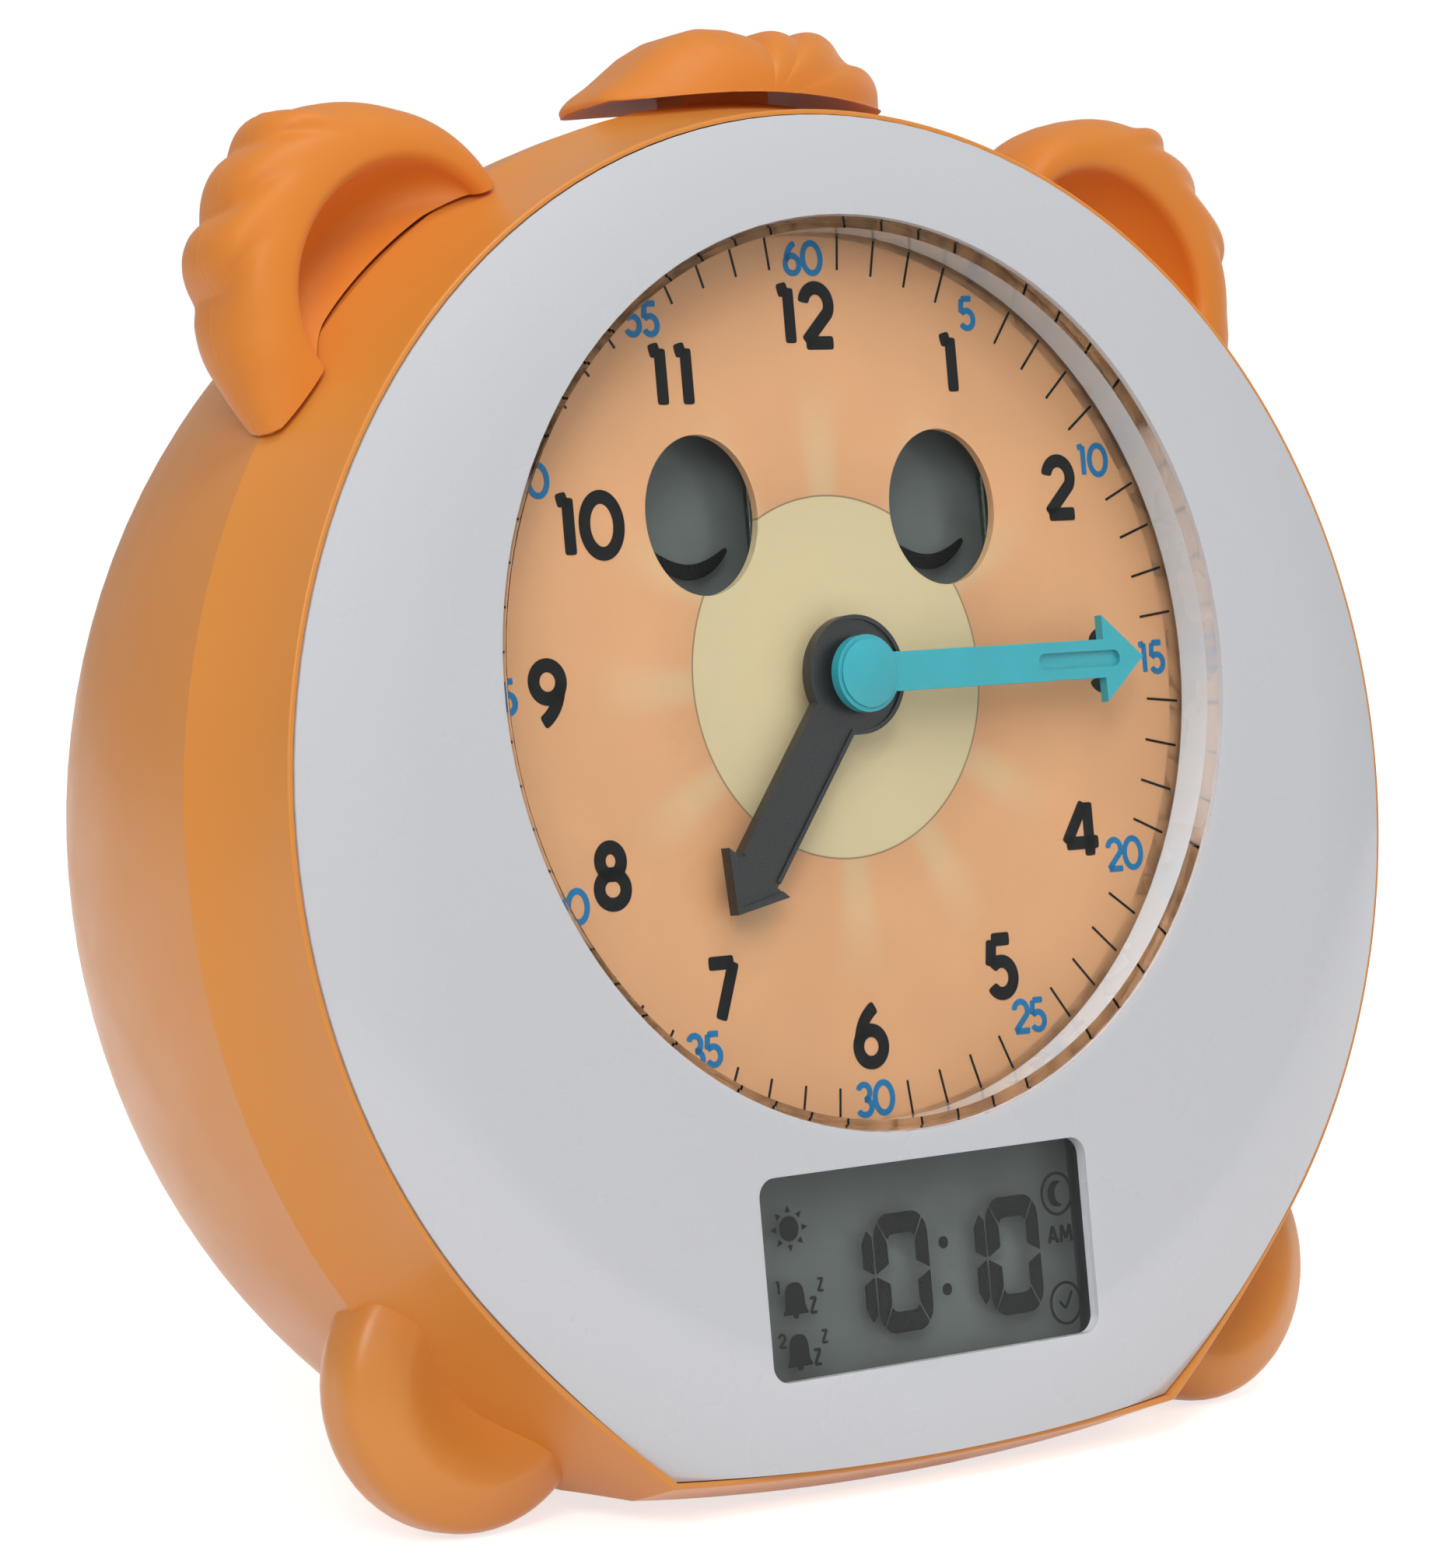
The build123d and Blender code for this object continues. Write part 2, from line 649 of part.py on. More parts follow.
with BuildPart() as screw_columns:
    add(posts(ring(back_bosses), BACK_BOSS_RADIUS, BACK_LEVEL, SEAM_LEVEL))
    add(dome_blank(-WALL / 2), mode=Mode.INTERSECT)

with BuildPart() as rear_feet:
    with BuildSketch(level(SEAM_LEVEL)):
        with Locations(*ring([foot_centre])):
            Circle(FOOT_RADIUS)
    extrude(amount=-FOOT_DEPTH)
    fillet(rear_feet.faces().sort_by(Axis(face.origin, outward))[:2].edges(), FOOT_ROUND)

with BuildPart() as rear_housing:
    add(dome_blank())
    add(below(0), mode=Mode.SUBTRACT)
    add(rear_feet.part)
    split(bisect_by=Plane.XY, keep=Keep.TOP)
    add(dome_cavity.part, mode=Mode.SUBTRACT)
    # battery bay, its door's rebate and the boss of the door's screw
    outer_bay = (BAY_SIZE[0] + 2 * BAY_WALL, BAY_SIZE[1] + 2 * BAY_WALL)
    add(block(BAY_CENTRE, outer_bay, BACK_LEVEL, bay_floor + BAY_WALL))
    add(block(door_screw_place, (DOOR_BOSS, DOOR_BOSS), BACK_LEVEL, back_inside + DOOR_BOSS))
    add(block(BAY_CENTRE, BAY_SIZE, BACK_LEVEL, bay_floor), mode=Mode.SUBTRACT)
    add(
        block(
            BAY_CENTRE,
            grown(door_size, DOOR_GAP),
            BACK_LEVEL,
            BACK_LEVEL + DOOR_THICKNESS,
            DOOR_CORNER,
        ),
        mode=Mode.SUBTRACT,
    )
    add(
        block(
            door_screw_place,
            grown(DOOR_EAR, DOOR_GAP),
            BACK_LEVEL,
            BACK_LEVEL + DOOR_THICKNESS,
            DOOR_CORNER,
        ),
        mode=Mode.SUBTRACT,
    )
    add(
        posts([door_screw_place], SMALL_SCREW + RUNNING, BACK_LEVEL, back_inside + DOOR_BOSS - WALL),
        mode=Mode.SUBTRACT,
    )
    # wells and posts for the screws that join the housings
    add(screw_columns.part)
    wells = ring(back_bosses)
    add(posts(wells, SCREW_HEAD + PANE_GAP, BACK_LEVEL, SCREW_FLOOR), mode=Mode.SUBTRACT)
    add(posts(wells, SCREW_RADIUS + PANE_GAP, SCREW_FLOOR, SEAM_LEVEL), mode=Mode.SUBTRACT)
    # speaker grille and seat
    seat_top = back_inside + SPEAKER_SEAT
    seat_bore = SPEAKER_RADIUS + GLASS_GAP
    add(posts([SPEAKER_CENTRE], SPEAKER_RADIUS + WALL, back_inside, seat_top, seat_bore))
    with BuildSketch(level(BACK_LEVEL)):
        with Locations(SPEAKER_CENTRE):
            with HexLocations(GRILLE_PITCH / 2, GRILLE_ROWS, GRILLE_ROWS):
                Circle(GRILLE_HOLE)
    extrude(amount=WALL, mode=Mode.SUBTRACT)
    # button holes, light switch slot, setting knob hole and the posts of the button board
    button_places = BUTTON_PLACES.values()
    hole = BUTTON_RADIUS + BUTTON_GAP
    add(posts(button_places, hole, BACK_LEVEL, back_inside), mode=Mode.SUBTRACT)
    add(block(SWITCH_PLACE, SWITCH_SLOT, BACK_LEVEL, back_inside), mode=Mode.SUBTRACT)
    hole = ARBOR_RADIUS + BUTTON_GAP
    add(posts([setting_centre], hole, BACK_LEVEL, back_inside), mode=Mode.SUBTRACT)
    add(posts(BUTTON_BOARD_BOSSES, BOSS_RADIUS, back_inside, button_board_level, SMALL_SCREW))
    # slot, spring shelf and its two hangers for the tuft
    add(
        block(
            (0, SEAM_RADIUS - SEAM_DROP - WALL / 2),
            (STEM[0] + 2 * STEM_GAP, 2 * WALL),
            STEM_LEVEL - STEM[1] / 2 - STEM_GAP,
            STEM_LEVEL + STEM[1] / 2 + STEM_GAP,
        ),
        mode=Mode.SUBTRACT,
    )
    shelf_low = STEM_LEVEL - SHELF[2] / 2
    shelf_high = shelf_low + SHELF[2]
    hanger_foot = SHELF_HEIGHT - SHELF[1]
    hanger_top = SEAM_RADIUS - SEAM_DROP - WALL
    hanger = (WALL, hanger_top - hanger_foot)
    for side in (-1, 1):
        shelf_x = side * (STEM[0] + SHELF[0]) / 2
        hanger_x = side * (STEM[0] / 2 + SHELF[0] + WALL / 2)
        add(block((shelf_x, SHELF_HEIGHT - SHELF[1] / 2), SHELF[:2], shelf_low, shelf_high))
        add(block((hanger_x, (hanger_foot + hanger_top) / 2), hanger, shelf_low, shelf_high))
    for side in (-1, 1):
        add(tongue(side, TONGUE_GAP), mode=Mode.SUBTRACT)
rear_housing.part.label = "rear_housing"


# ------------------------------------------------------------------ white front and clear panes
pane_radius = WINDOW_RADIUS - PANE_GAP
flange_top = PANE_FLANGE_THICKNESS
return_radius = WINDOW_RADIUS + RETURN_WALL
roll_drop = ROLL_RADIUS - sqrt(ROLL_RADIUS**2 - (ROLL_END - ROLL_START) ** 2)
with BuildPart() as roll_off:
    with BuildSketch(section(0, -BEZEL_DROP)):
        with BuildLine():
            start = (ROLL_START, BEZEL_LEVEL)
            end = (ROLL_END, BEZEL_LEVEL - roll_drop)
            above = BEZEL_LEVEL + OVERCUT
            TangentArc(start, end, tangent=(1, 0))
            Polyline(end, (ROLL_END, above), (ROLL_START, above), start)
        make_face()
    revolve(axis=square_axis(0, -BEZEL_DROP))

with BuildPart() as bezel_cavity:
    add(slab(bezel_face(-BEZEL_WALL), deck_front, BEZEL_LEVEL - BEZEL_WALL))
    lowered = Location(spot(0, 0, -BEZEL_WALL) - spot(0, 0, 0)) * roll_off.part
    add(lowered, mode=Mode.SUBTRACT)

with BuildPart() as front_bezel:
    add(slab(bezel_face(), deck_front, BEZEL_LEVEL))
    add(roll_off.part, mode=Mode.SUBTRACT)
    add(bezel_cavity.part, mode=Mode.SUBTRACT)
    # wall round the dial window, frame round the display window, and screw bosses
    bezel_inside = BEZEL_LEVEL - BEZEL_WALL
    add(posts([(0, 0)], return_radius, flange_top, bezel_inside, WINDOW_RADIUS - OVERCUT))
    frame_size = grown(TIME_GLASS, DISPLAY_LIP + GLASS_GAP)
    add(block(TIME_GLASS_CENTRE, frame_size, time_glass_back, bezel_inside))
    glass_room = block(TIME_GLASS_CENTRE, grown(TIME_GLASS, GLASS_GAP), deck_front, bezel_inside)
    add(glass_room, mode=Mode.SUBTRACT)
    add(posts([(0, 0)], WINDOW_RADIUS, deck_front, BEZEL_LEVEL), mode=Mode.SUBTRACT)
    add(
        block(DISPLAY_CENTRE, DISPLAY_SIZE, deck_front, BEZEL_LEVEL, DISPLAY_CORNER),
        mode=Mode.SUBTRACT,
    )
    add(posts(ring(bezel_bosses), BOSS_RADIUS, deck_front, bezel_inside))
    add(posts(ring(bezel_bosses), SMALL_SCREW, deck_front, BEZEL_SCREW_TOP), mode=Mode.SUBTRACT)
front_bezel.part.label = "front_bezel"

with BuildPart() as dial_lens:
    add(
        turned(
            [
                (0, PANE_LEVEL),
                (pane_radius - PANE_EASE, PANE_LEVEL),
                (pane_radius, PANE_LEVEL - PANE_EASE),
                (pane_radius, flange_top),
                (return_radius - PANE_GAP, flange_top),
                (return_radius - PANE_GAP, 0),
                (pane_radius - PANE_WALL, 0),
                (pane_radius - PANE_WALL, PANE_LEVEL - PANE_THICKNESS),
                (0, PANE_LEVEL - PANE_THICKNESS),
            ]
        )
    )
dial_lens.part.label = "dial_lens"

with BuildPart() as display_lens:
    add(block(TIME_GLASS_CENTRE, TIME_GLASS, TIME_GLASS_LEVEL, bezel_inside))
    with BuildSketch(level(bezel_inside)):
        with Locations(DISPLAY_CENTRE):
            RectangleRounded(*grown(DISPLAY_SIZE, -BEZEL_GAP), DISPLAY_CORNER - BEZEL_GAP)
    extrude(amount=BEZEL_WALL - DISPLAY_RECESS)
display_lens.part.label = "display_lens"

# ------------------------------------------------------------------ dial and displays
with BuildPart() as dial_plate:
    with BuildSketch(level(deck_front)):
        Circle(DIAL_RADIUS)
        Circle(HUB_RADIUS + GLASS_GAP, mode=Mode.SUBTRACT)
        with Locations(*eyes):
            Ellipse(*EYE_HALF, mode=Mode.SUBTRACT)
    extrude(amount=DIAL_THICKNESS)
dial_plate.part.label = "dial_plate"


def connector_strips(centre, glass, low, high):
    """Two elastomer strips that join a display's glass to its board."""
    row = glass[1] / 2 - CONNECTOR_INSET
    size = (glass[0] - 2 * CONNECTOR_INSET, CONNECTOR_WIDTH)
    with BuildPart() as strips:
        for side in (-1, 1):
            add(block((centre[0], centre[1] + side * row), size, low, high))
    return strips.part


eye_glass_back = EYE_GLASS_LEVEL - GLASS_THICKNESS
with BuildPart() as eye_display_left:
    add(block(eyes[0], EYE_GLASS, eye_glass_back, EYE_GLASS_LEVEL))
eye_display_left.part.label = "eye_display_left"

with BuildPart() as eye_display_right:
    add(block(eyes[1], EYE_GLASS, eye_glass_back, EYE_GLASS_LEVEL))
eye_display_right.part.label = "eye_display_right"

with BuildPart() as eye_display_connectors:
    for eye in eyes:
        add(connector_strips(eye, EYE_GLASS, MAIN_BOARD_LEVEL, eye_glass_back))
eye_display_connectors.part.label = "eye_display_connectors"

with BuildPart() as main_board:
    with BuildSketch(level(MAIN_BOARD_LEVEL - BOARD)):
        RectangleRounded(*MAIN_BOARD_SIZE, DISPLAY_CORNER)
        with Locations((0, MAIN_BOARD_SIZE[1] / 2 + MAIN_BOARD_TAB[1] / 2 - DISPLAY_CORNER)):
            RectangleRounded(*MAIN_BOARD_TAB, DISPLAY_CORNER)
        Circle(HUB_SHOULDER + GLASS_GAP, mode=Mode.SUBTRACT)
        with Locations(*ring(MAIN_BOARD_BOSSES)):
            Circle(SMALL_SCREW + PANE_GAP, mode=Mode.SUBTRACT)
    extrude(amount=BOARD)
    with BuildSketch(level(MAIN_BOARD_LEVEL - BOARD)):
        with Locations(*CHIP_PLACES):
            RectangleRounded(*CHIP_SIZE[:2], CHIP_CORNER)
    extrude(amount=-CHIP_SIZE[2])
main_board.part.label = "main_board"

with BuildPart() as board_screws:
    low = MAIN_BOARD_LEVEL - BOARD
    add(posts(ring(MAIN_BOARD_BOSSES), SMALL_SCREW, low, deck_back - SCREW_TIP))
    add(posts(ring(MAIN_BOARD_BOSSES), SMALL_HEAD, low - SMALL_HEAD_HEIGHT, low))
board_screws.part.label = "board_screws"

display_board_top = deck_front + BOARD
with BuildPart() as display_board:
    add(block(TIME_GLASS_CENTRE, grown(TIME_GLASS, -GLASS_GAP), deck_front, display_board_top))
display_board.part.label = "display_board"

with BuildPart() as time_display_connectors:
    add(connector_strips(TIME_GLASS_CENTRE, TIME_GLASS, display_board_top, time_glass_back))
time_display_connectors.part.label = "time_display_connectors"

with BuildPart() as time_display:
    add(block(TIME_GLASS_CENTRE, TIME_GLASS, time_glass_back, TIME_GLASS_LEVEL))
time_display.part.label = "time_display"

# ------------------------------------------------------------------ night light
light_end = 180 - LIGHT_BOARD_START
light_board_top = deck_front + BOARD
light_middle = sum(LIGHT_BOARD_RADII) / 2
with BuildPart() as light_board:
    with BuildSketch(level(deck_front)):
        with BuildLine():
            inner, outer = LIGHT_BOARD_RADII
            span = light_end - LIGHT_BOARD_START
            CenterArc((0, 0), inner, LIGHT_BOARD_START, span)
            CenterArc((0, 0), outer, LIGHT_BOARD_START, span)
            Line(polar(inner, LIGHT_BOARD_START), polar(outer, LIGHT_BOARD_START))
            Line(polar(inner, light_end), polar(outer, light_end))
        make_face()
    extrude(amount=BOARD)
light_board.part.label = "light_board"

with BuildPart() as night_light_leds:
    with BuildSketch(level(light_board_top)):
        for number in range(LED_COUNT):
            angle = LIGHT_BOARD_START + span * (number + 0.5) / LED_COUNT
            with Locations(polar(light_middle, angle)):
                Rectangle(LED_SIZE[1], LED_SIZE[0], rotation=angle)
    extrude(amount=LED_SIZE[2])
night_light_leds.part.label = "night_light_leds"

with BuildPart() as bezel_screws:
    add(posts(ring(bezel_bosses), SMALL_SCREW, deck_back, BEZEL_SCREW_TOP))
    add(posts(ring(bezel_bosses), SMALL_HEAD, deck_back - SMALL_HEAD_HEIGHT, deck_back))
bezel_screws.part.label = "bezel_screws"

# ------------------------------------------------------------------ ears
with BuildPart() as body_envelope:
    add(front_blank(EAR_GAP))
    add(dome_blank(EAR_GAP))


def near(places):
    """A test for edges whose middle lies at one of the places, seen square to the dial."""
    return lambda edge: min(away(edge, place) for place in places) < EAR_NOTCH / 2


def ear(side):
    """An ear on one side: scalloped outline, rounded edges, a deep bowl and a root."""
    points = {name: (side * (ear_foot[0] + x), ear_foot[1] + y) for name, (x, y) in EAR.items()}
    angle = 90 - side * (90 - EAR_ANGLE)
    radial = spot(*polar(1, angle)) - spot(0, 0)
    foot = spot(*polar(SEAM_RADIUS, angle, (0, -SEAM_DROP)), EAR_LEVELS[1])
    bowl = Plane(origin=foot, x_dir=radial, z_dir=outward)
    with BuildPart() as body:
        with BuildSketch(level(EAR_LEVELS[0])):
            with BuildLine():
                ThreePointArc(points["root"], points["crown"], points["notch_a"])
                ThreePointArc(points["notch_a"], points["lobe_a"], points["notch_b"])
                ThreePointArc(points["notch_b"], points["lobe_b"], points["notch_c"])
                ThreePointArc(points["notch_c"], points["lobe_c"], points["tip"])
                Polyline(points["tip"], points["heel"], points["instep"], points["root"])
            make_face()
        extrude(amount=EAR_LEVELS[1] - EAR_LEVELS[0])
        notches = [points["notch_a"], points["notch_b"], points["notch_c"]]
        fillet(body.edges().filter_by(square_axis()).filter_by(near(notches)), EAR_NOTCH)
        fillet(body.faces().sort_by(square_axis())[-1].edges(), EAR_ROUND)
        fillet(body.faces().sort_by(square_axis())[0].edges(), EAR_ROUND)
        with BuildSketch(bowl):
            with BuildLine():
                EllipticalCenterArc((0, 0), *EAR_BOWL, start_angle=-90, arc_size=180)
                Line((0, EAR_BOWL[1]), (0, -EAR_BOWL[1]))
            make_face()
        revolve(axis=Axis(bowl.origin, bowl.y_dir), mode=Mode.SUBTRACT)
        add(body_envelope.part, mode=Mode.SUBTRACT)
        add(tongue(side, 0))
    return body.part


with BuildPart() as ear_right:
    add(ear(1))
ear_right.part.label = "ear_right"

with BuildPart() as ear_left:
    add(ear(-1))
ear_left.part.label = "ear_left"

# ------------------------------------------------------------------ tuft: the snooze and light button
with BuildPart() as tuft_envelope:
    add(front_blank(TUFT_GAP))
    add(dome_blank(TUFT_GAP))

flange_top_y = SEAM_RADIUS - SEAM_DROP - WALL - STEM_GAP - FLANGE_DROP
with BuildPart() as snooze_button:
    with BuildSketch(level(TUFT_LEVELS[0])):
        with BuildLine():
            Spline(tuft["tail"], tuft["shoulder"], tuft["crown"], tuft["notch_a"])
            ThreePointArc(tuft["notch_a"], tuft["lobe_a"], tuft["notch_b"])
            ThreePointArc(tuft["notch_b"], tuft["lobe_b"], tuft["notch_c"])
            ThreePointArc(tuft["notch_c"], tuft["lobe_c"], tuft["end"])
            Polyline(tuft["end"], tuft["under_end"], tuft["under_tail"], tuft["tail"])
        make_face()
    extrude(amount=TUFT_LEVELS[1] - TUFT_LEVELS[0])
    notches = [tuft["notch_a"], tuft["notch_b"], tuft["notch_c"]]
    fillet(snooze_button.edges().filter_by(square_axis()).filter_by(near(notches)), EAR_NOTCH)
    fillet(snooze_button.faces().sort_by(square_axis())[-1].edges(), TUFT_ROUND)
    fillet(snooze_button.faces().sort_by(square_axis())[0].edges(), TUFT_ROUND)
    add(tuft_envelope.part, mode=Mode.SUBTRACT)
    stem_top = tuft["crown"][1] - 2 * WALL
    stem_low = STEM_LEVEL - STEM[1] / 2
    stem_high = stem_low + STEM[1]
    stem_size = (STEM[0], stem_top - STEM_END)
    add(block((0, (STEM_END + stem_top) / 2), stem_size, stem_low, stem_high))
    add(block((0, flange_top_y - FLANGE[1] / 2), FLANGE, stem_low, stem_high))
snooze_button.part.label = "snooze_button"

spring_low = SHELF_HEIGHT
spring_high = flange_top_y - FLANGE[1]
with BuildPart() as snooze_springs:
    for side in (-1, 1):
        seat = Plane(
            origin=spot(side * SPRING_ROW, spring_low + SPRING_WIRE, STEM_LEVEL),
            x_dir=(1, 0, 0),
            z_dir=face.y_dir,
        )
        rise = spring_high - spring_low - 2 * SPRING_WIRE
        coil = seat.location * Helix(rise / SPRING_TURNS, rise, SPRING_RADIUS)
        with BuildSketch(Plane(origin=coil @ 0, z_dir=coil % 0)):
            RegularPolygon(SPRING_WIRE, 6)
        sweep(path=coil)
snooze_springs.part.label = "snooze_springs"

with BuildPart() as snooze_switch:
    back = MAIN_BOARD_LEVEL - BOARD
    add(block((0, SWITCH_ROW), SNOOZE_SWITCH[:2], back - SNOOZE_SWITCH[2], back))
    plunger = spot(0, SWITCH_ROW + SNOOZE_SWITCH[1] / 2, STEM_LEVEL)
    with BuildSketch(Plane(plunger, (1, 0, 0), face.y_dir)):
        Circle(PLUNGER_RADIUS)
    extrude(amount=PLUNGER_HEIGHT)
snooze_switch.part.label = "snooze_switch"

# ------------------------------------------------------------------ movement
case_inner = grown(CASE_SIZE, -CASE_WALL)
with BuildPart() as movement_case_front:
    add(block(CASE_CENTRE, CASE_SIZE, CASE_SPLIT, CASE_FRONT, CASE_CORNER))
    add(block(CASE_CENTRE, case_inner, CASE_SPLIT, CASE_FRONT - CASE_WALL), mode=Mode.SUBTRACT)
    add(posts([(0, 0)], HUB_SHOULDER, CASE_FRONT, deck_back))
    add(posts([(0, 0)], HUB_RADIUS, deck_back, NUT_THICKNESS))
    add(posts([(0, 0)], hub_bore, CASE_FRONT - CASE_WALL, NUT_THICKNESS), mode=Mode.SUBTRACT)
    add(
        posts([motion_centre], PIVOT_RADIUS + RUNNING, CASE_FRONT - CASE_WALL, CASE_FRONT),
        mode=Mode.SUBTRACT,
    )
movement_case_front.part.label = "movement_case_front"

with BuildPart() as movement_plate:
    add(block(CASE_CENTRE, CASE_SIZE, CASE_SPLIT - PLATE, CASE_SPLIT, CASE_CORNER))
    add(
        posts([(0, 0), setting_centre], ARBOR_RADIUS + RUNNING, CASE_SPLIT - PLATE, CASE_SPLIT),
        mode=Mode.SUBTRACT,
    )
    pivots = [motion_centre, step_centre, rotor_centre]
    add(posts(pivots, PIVOT_RADIUS + RUNNING, CASE_SPLIT - PLATE, CASE_SPLIT), mode=Mode.SUBTRACT)
movement_plate.part.label = "movement_plate"

with BuildPart() as movement_case_rear:
    add(block(CASE_CENTRE, CASE_SIZE, CASE_BACK, CASE_SPLIT - PLATE, CASE_CORNER))
    add(
        block(CASE_CENTRE, case_inner, CASE_BACK + CASE_WALL, CASE_SPLIT - PLATE),
        mode=Mode.SUBTRACT,
    )
    add(posts(STATOR_POSTS, STATOR_POST, CASE_BACK + CASE_WALL, STATOR_LEVEL))
    pivots = [step_centre, rotor_centre]
    add(posts(pivots, PIVOT_RADIUS + RUNNING, CASE_BACK, CASE_BACK + CASE_WALL), mode=Mode.SUBTRACT)
    pivots = [(0, 0), setting_centre]
    add(posts(pivots, ARBOR_RADIUS + RUNNING, CASE_BACK, CASE_BACK + CASE_WALL), mode=Mode.SUBTRACT)
movement_case_rear.part.label = "movement_case_rear"

with BuildPart() as hub_nut:
    with BuildSketch(level(0)):
        RegularPolygon(NUT_RADIUS, 6)
        Circle(HUB_RADIUS, mode=Mode.SUBTRACT)
    extrude(amount=NUT_THICKNESS - GLASS_GAP)
hub_nut.part.label = "hub_nut"

centre_low = CASE_SPLIT - PLATE - LAYER_GAP - WHEEL
with BuildPart() as minute_arbor:
    add(posts([(0, 0)], ARBOR_RADIUS, CASE_BACK + GLASS_GAP, MINUTE_LEVELS[1]))
    add(slab(gear_face(CENTRE_TEETH, -90, (0, 0)), centre_low, centre_low + WHEEL))
    cannon_low = CASE_SPLIT + GLASS_GAP
    add(slab(gear_face(CANNON_PINION, 90, (0, 0)), cannon_low, cannon_low + PINION))
minute_arbor.part.label = "minute_arbor"

with BuildPart() as step_wheel:
    low = centre_low - LAYER_GAP
    wheel_low = low - WHEEL
    add(posts([step_centre], PIVOT_RADIUS, CASE_BACK + GLASS_GAP, CASE_SPLIT - GLASS_GAP))
    turn = 90 + 180 / STEP_PINION
    add(slab(gear_face(STEP_PINION, turn, step_centre), low, low + WHEEL + 2 * LAYER_GAP - GLASS_GAP))
    add(slab(gear_face(STEP_WHEEL, ROTOR_ANGLE, step_centre), wheel_low, low))
step_wheel.part.label = "step_wheel"

with BuildPart() as rotor:
    add(posts([rotor_centre], PIVOT_RADIUS, CASE_BACK + GLASS_GAP, CASE_SPLIT - GLASS_GAP))
    turn = ROTOR_ANGLE + 180 + 180 / ROTOR_PINION
    low = wheel_low - GLASS_GAP
    add(slab(gear_face(ROTOR_PINION, turn, rotor_centre), low, low + WHEEL + 2 * GLASS_GAP))
    add(posts([rotor_centre], ROTOR_RADIUS, ROTOR_LEVELS[0], ROTOR_LEVELS[1]))
rotor.part.label = "rotor"

with BuildPart() as motor_stator:
    with BuildSketch(level(STATOR_LEVEL)):
        x0, y0 = rotor_centre
        with BuildLine():
            Polyline(
                (x0 - STATOR_ARM, COIL_ROW - STATOR_DEPTH),
                (COIL_SPAN[1] + STATOR_BAR, COIL_ROW - STATOR_DEPTH),
                (COIL_SPAN[1] + STATOR_BAR, COIL_ROW + STATOR_BAR / 2),
                (x0 + STATOR_ARM, COIL_ROW + STATOR_BAR / 2),
                (x0 + STATOR_ARM, y0 + STATOR_ARM),
                (x0 - STATOR_ARM, y0 + STATOR_ARM),
                close=True,
            )
        make_face()
        slot_low = COIL_ROW - STATOR_DEPTH + STATOR_BAR
        slot_high = COIL_ROW - STATOR_BAR / 2
        with Locations(((x0 + STATOR_ARM + COIL_SPAN[1]) / 2, (slot_low + slot_high) / 2)):
            Rectangle(COIL_SPAN[1] - x0 - STATOR_ARM, slot_high - slot_low, mode=Mode.SUBTRACT)
        with Locations(rotor_centre):
            Circle(ROTOR_RADIUS + STATOR_GAP, mode=Mode.SUBTRACT)
    extrude(amount=STATOR_THICKNESS)
motor_stator.part.label = "motor_stator"

with BuildPart() as motor_coil:
    coil_middle = STATOR_LEVEL + STATOR_THICKNESS / 2
    start = Plane(spot(COIL_SPAN[0], COIL_ROW, coil_middle), face.y_dir, (1, 0, 0))
    flange = COIL_RADIUS + COIL_FLANGE
    length = COIL_SPAN[1] - COIL_SPAN[0]
    with BuildSketch(start, start.offset(length - COIL_FLANGE)):
        RectangleRounded(2 * flange, 2 * flange, COIL_FLANGE)
    extrude(amount=COIL_FLANGE)
    with BuildSketch(start):
        Circle(COIL_RADIUS)
    extrude(amount=length)
    add(
        block(
            ((COIL_SPAN[0] + COIL_SPAN[1]) / 2, COIL_ROW),
            (length, STATOR_BAR),
            STATOR_LEVEL,
            STATOR_LEVEL + STATOR_THICKNESS,
        ),
        mode=Mode.SUBTRACT,
    )
motor_coil.part.label = "motor_coil"

motion_low = CASE_SPLIT + GLASS_GAP
with BuildPart() as minute_wheel:
    add(posts([motion_centre], PIVOT_RADIUS, CASE_SPLIT - PLATE, CASE_FRONT - GLASS_GAP))
    wheel_turn = -90 + 180 / MOTION_WHEEL
    add(slab(gear_face(MOTION_WHEEL, wheel_turn, motion_centre), motion_low, motion_low + WHEEL))
    pinion_high = CASE_FRONT - CASE_WALL - GLASS_GAP
    add(
        slab(
            gear_face(MOTION_PINION, -90, motion_centre, motion_module),
            motion_low + WHEEL,
            pinion_high,
        )
    )
minute_wheel.part.label = "minute_wheel"

with BuildPart() as hour_wheel:
    hour_low = cannon_low + PINION + GLASS_GAP
    turn = 90 + 180 / HOUR_WHEEL
    add(slab(gear_face(HOUR_WHEEL, turn, (0, 0), motion_module), hour_low, hour_low + WHEEL))
    add(posts([(0, 0)], pipe_radius, hour_low, HOUR_LEVELS[1]))
    add(
        posts([(0, 0)], ARBOR_RADIUS + RUNNING, hour_low, HOUR_LEVELS[1]),
        mode=Mode.SUBTRACT,
    )
hour_wheel.part.label = "hour_wheel"

with BuildPart() as setting_shaft:
    add(posts([setting_centre], ARBOR_RADIUS, knob_back + CASE_WALL, motion_low + WHEEL + GLASS_GAP))
    turn = SETTING_ANGLE + 180
    add(slab(gear_face(SETTING_PINION, turn, setting_centre), motion_low, motion_low + WHEEL))
setting_shaft.part.label = "setting_shaft"

with BuildPart() as setting_knob:
    with BuildSketch(level(BACK_LEVEL - BUTTON_GAP)):
        with Locations(setting_centre):
            Circle(KNOB_RADIUS)
            with PolarLocations(KNOB_RADIUS, KNOB_FLUTES):
                Circle(KNOB_FLUTE, mode=Mode.SUBTRACT)
    extrude(amount=-(KNOB_HEIGHT - BUTTON_GAP))
    add(
        posts([setting_centre], ARBOR_RADIUS, knob_back + CASE_WALL, BACK_LEVEL),
        mode=Mode.SUBTRACT,
    )
setting_knob.part.label = "setting_knob"

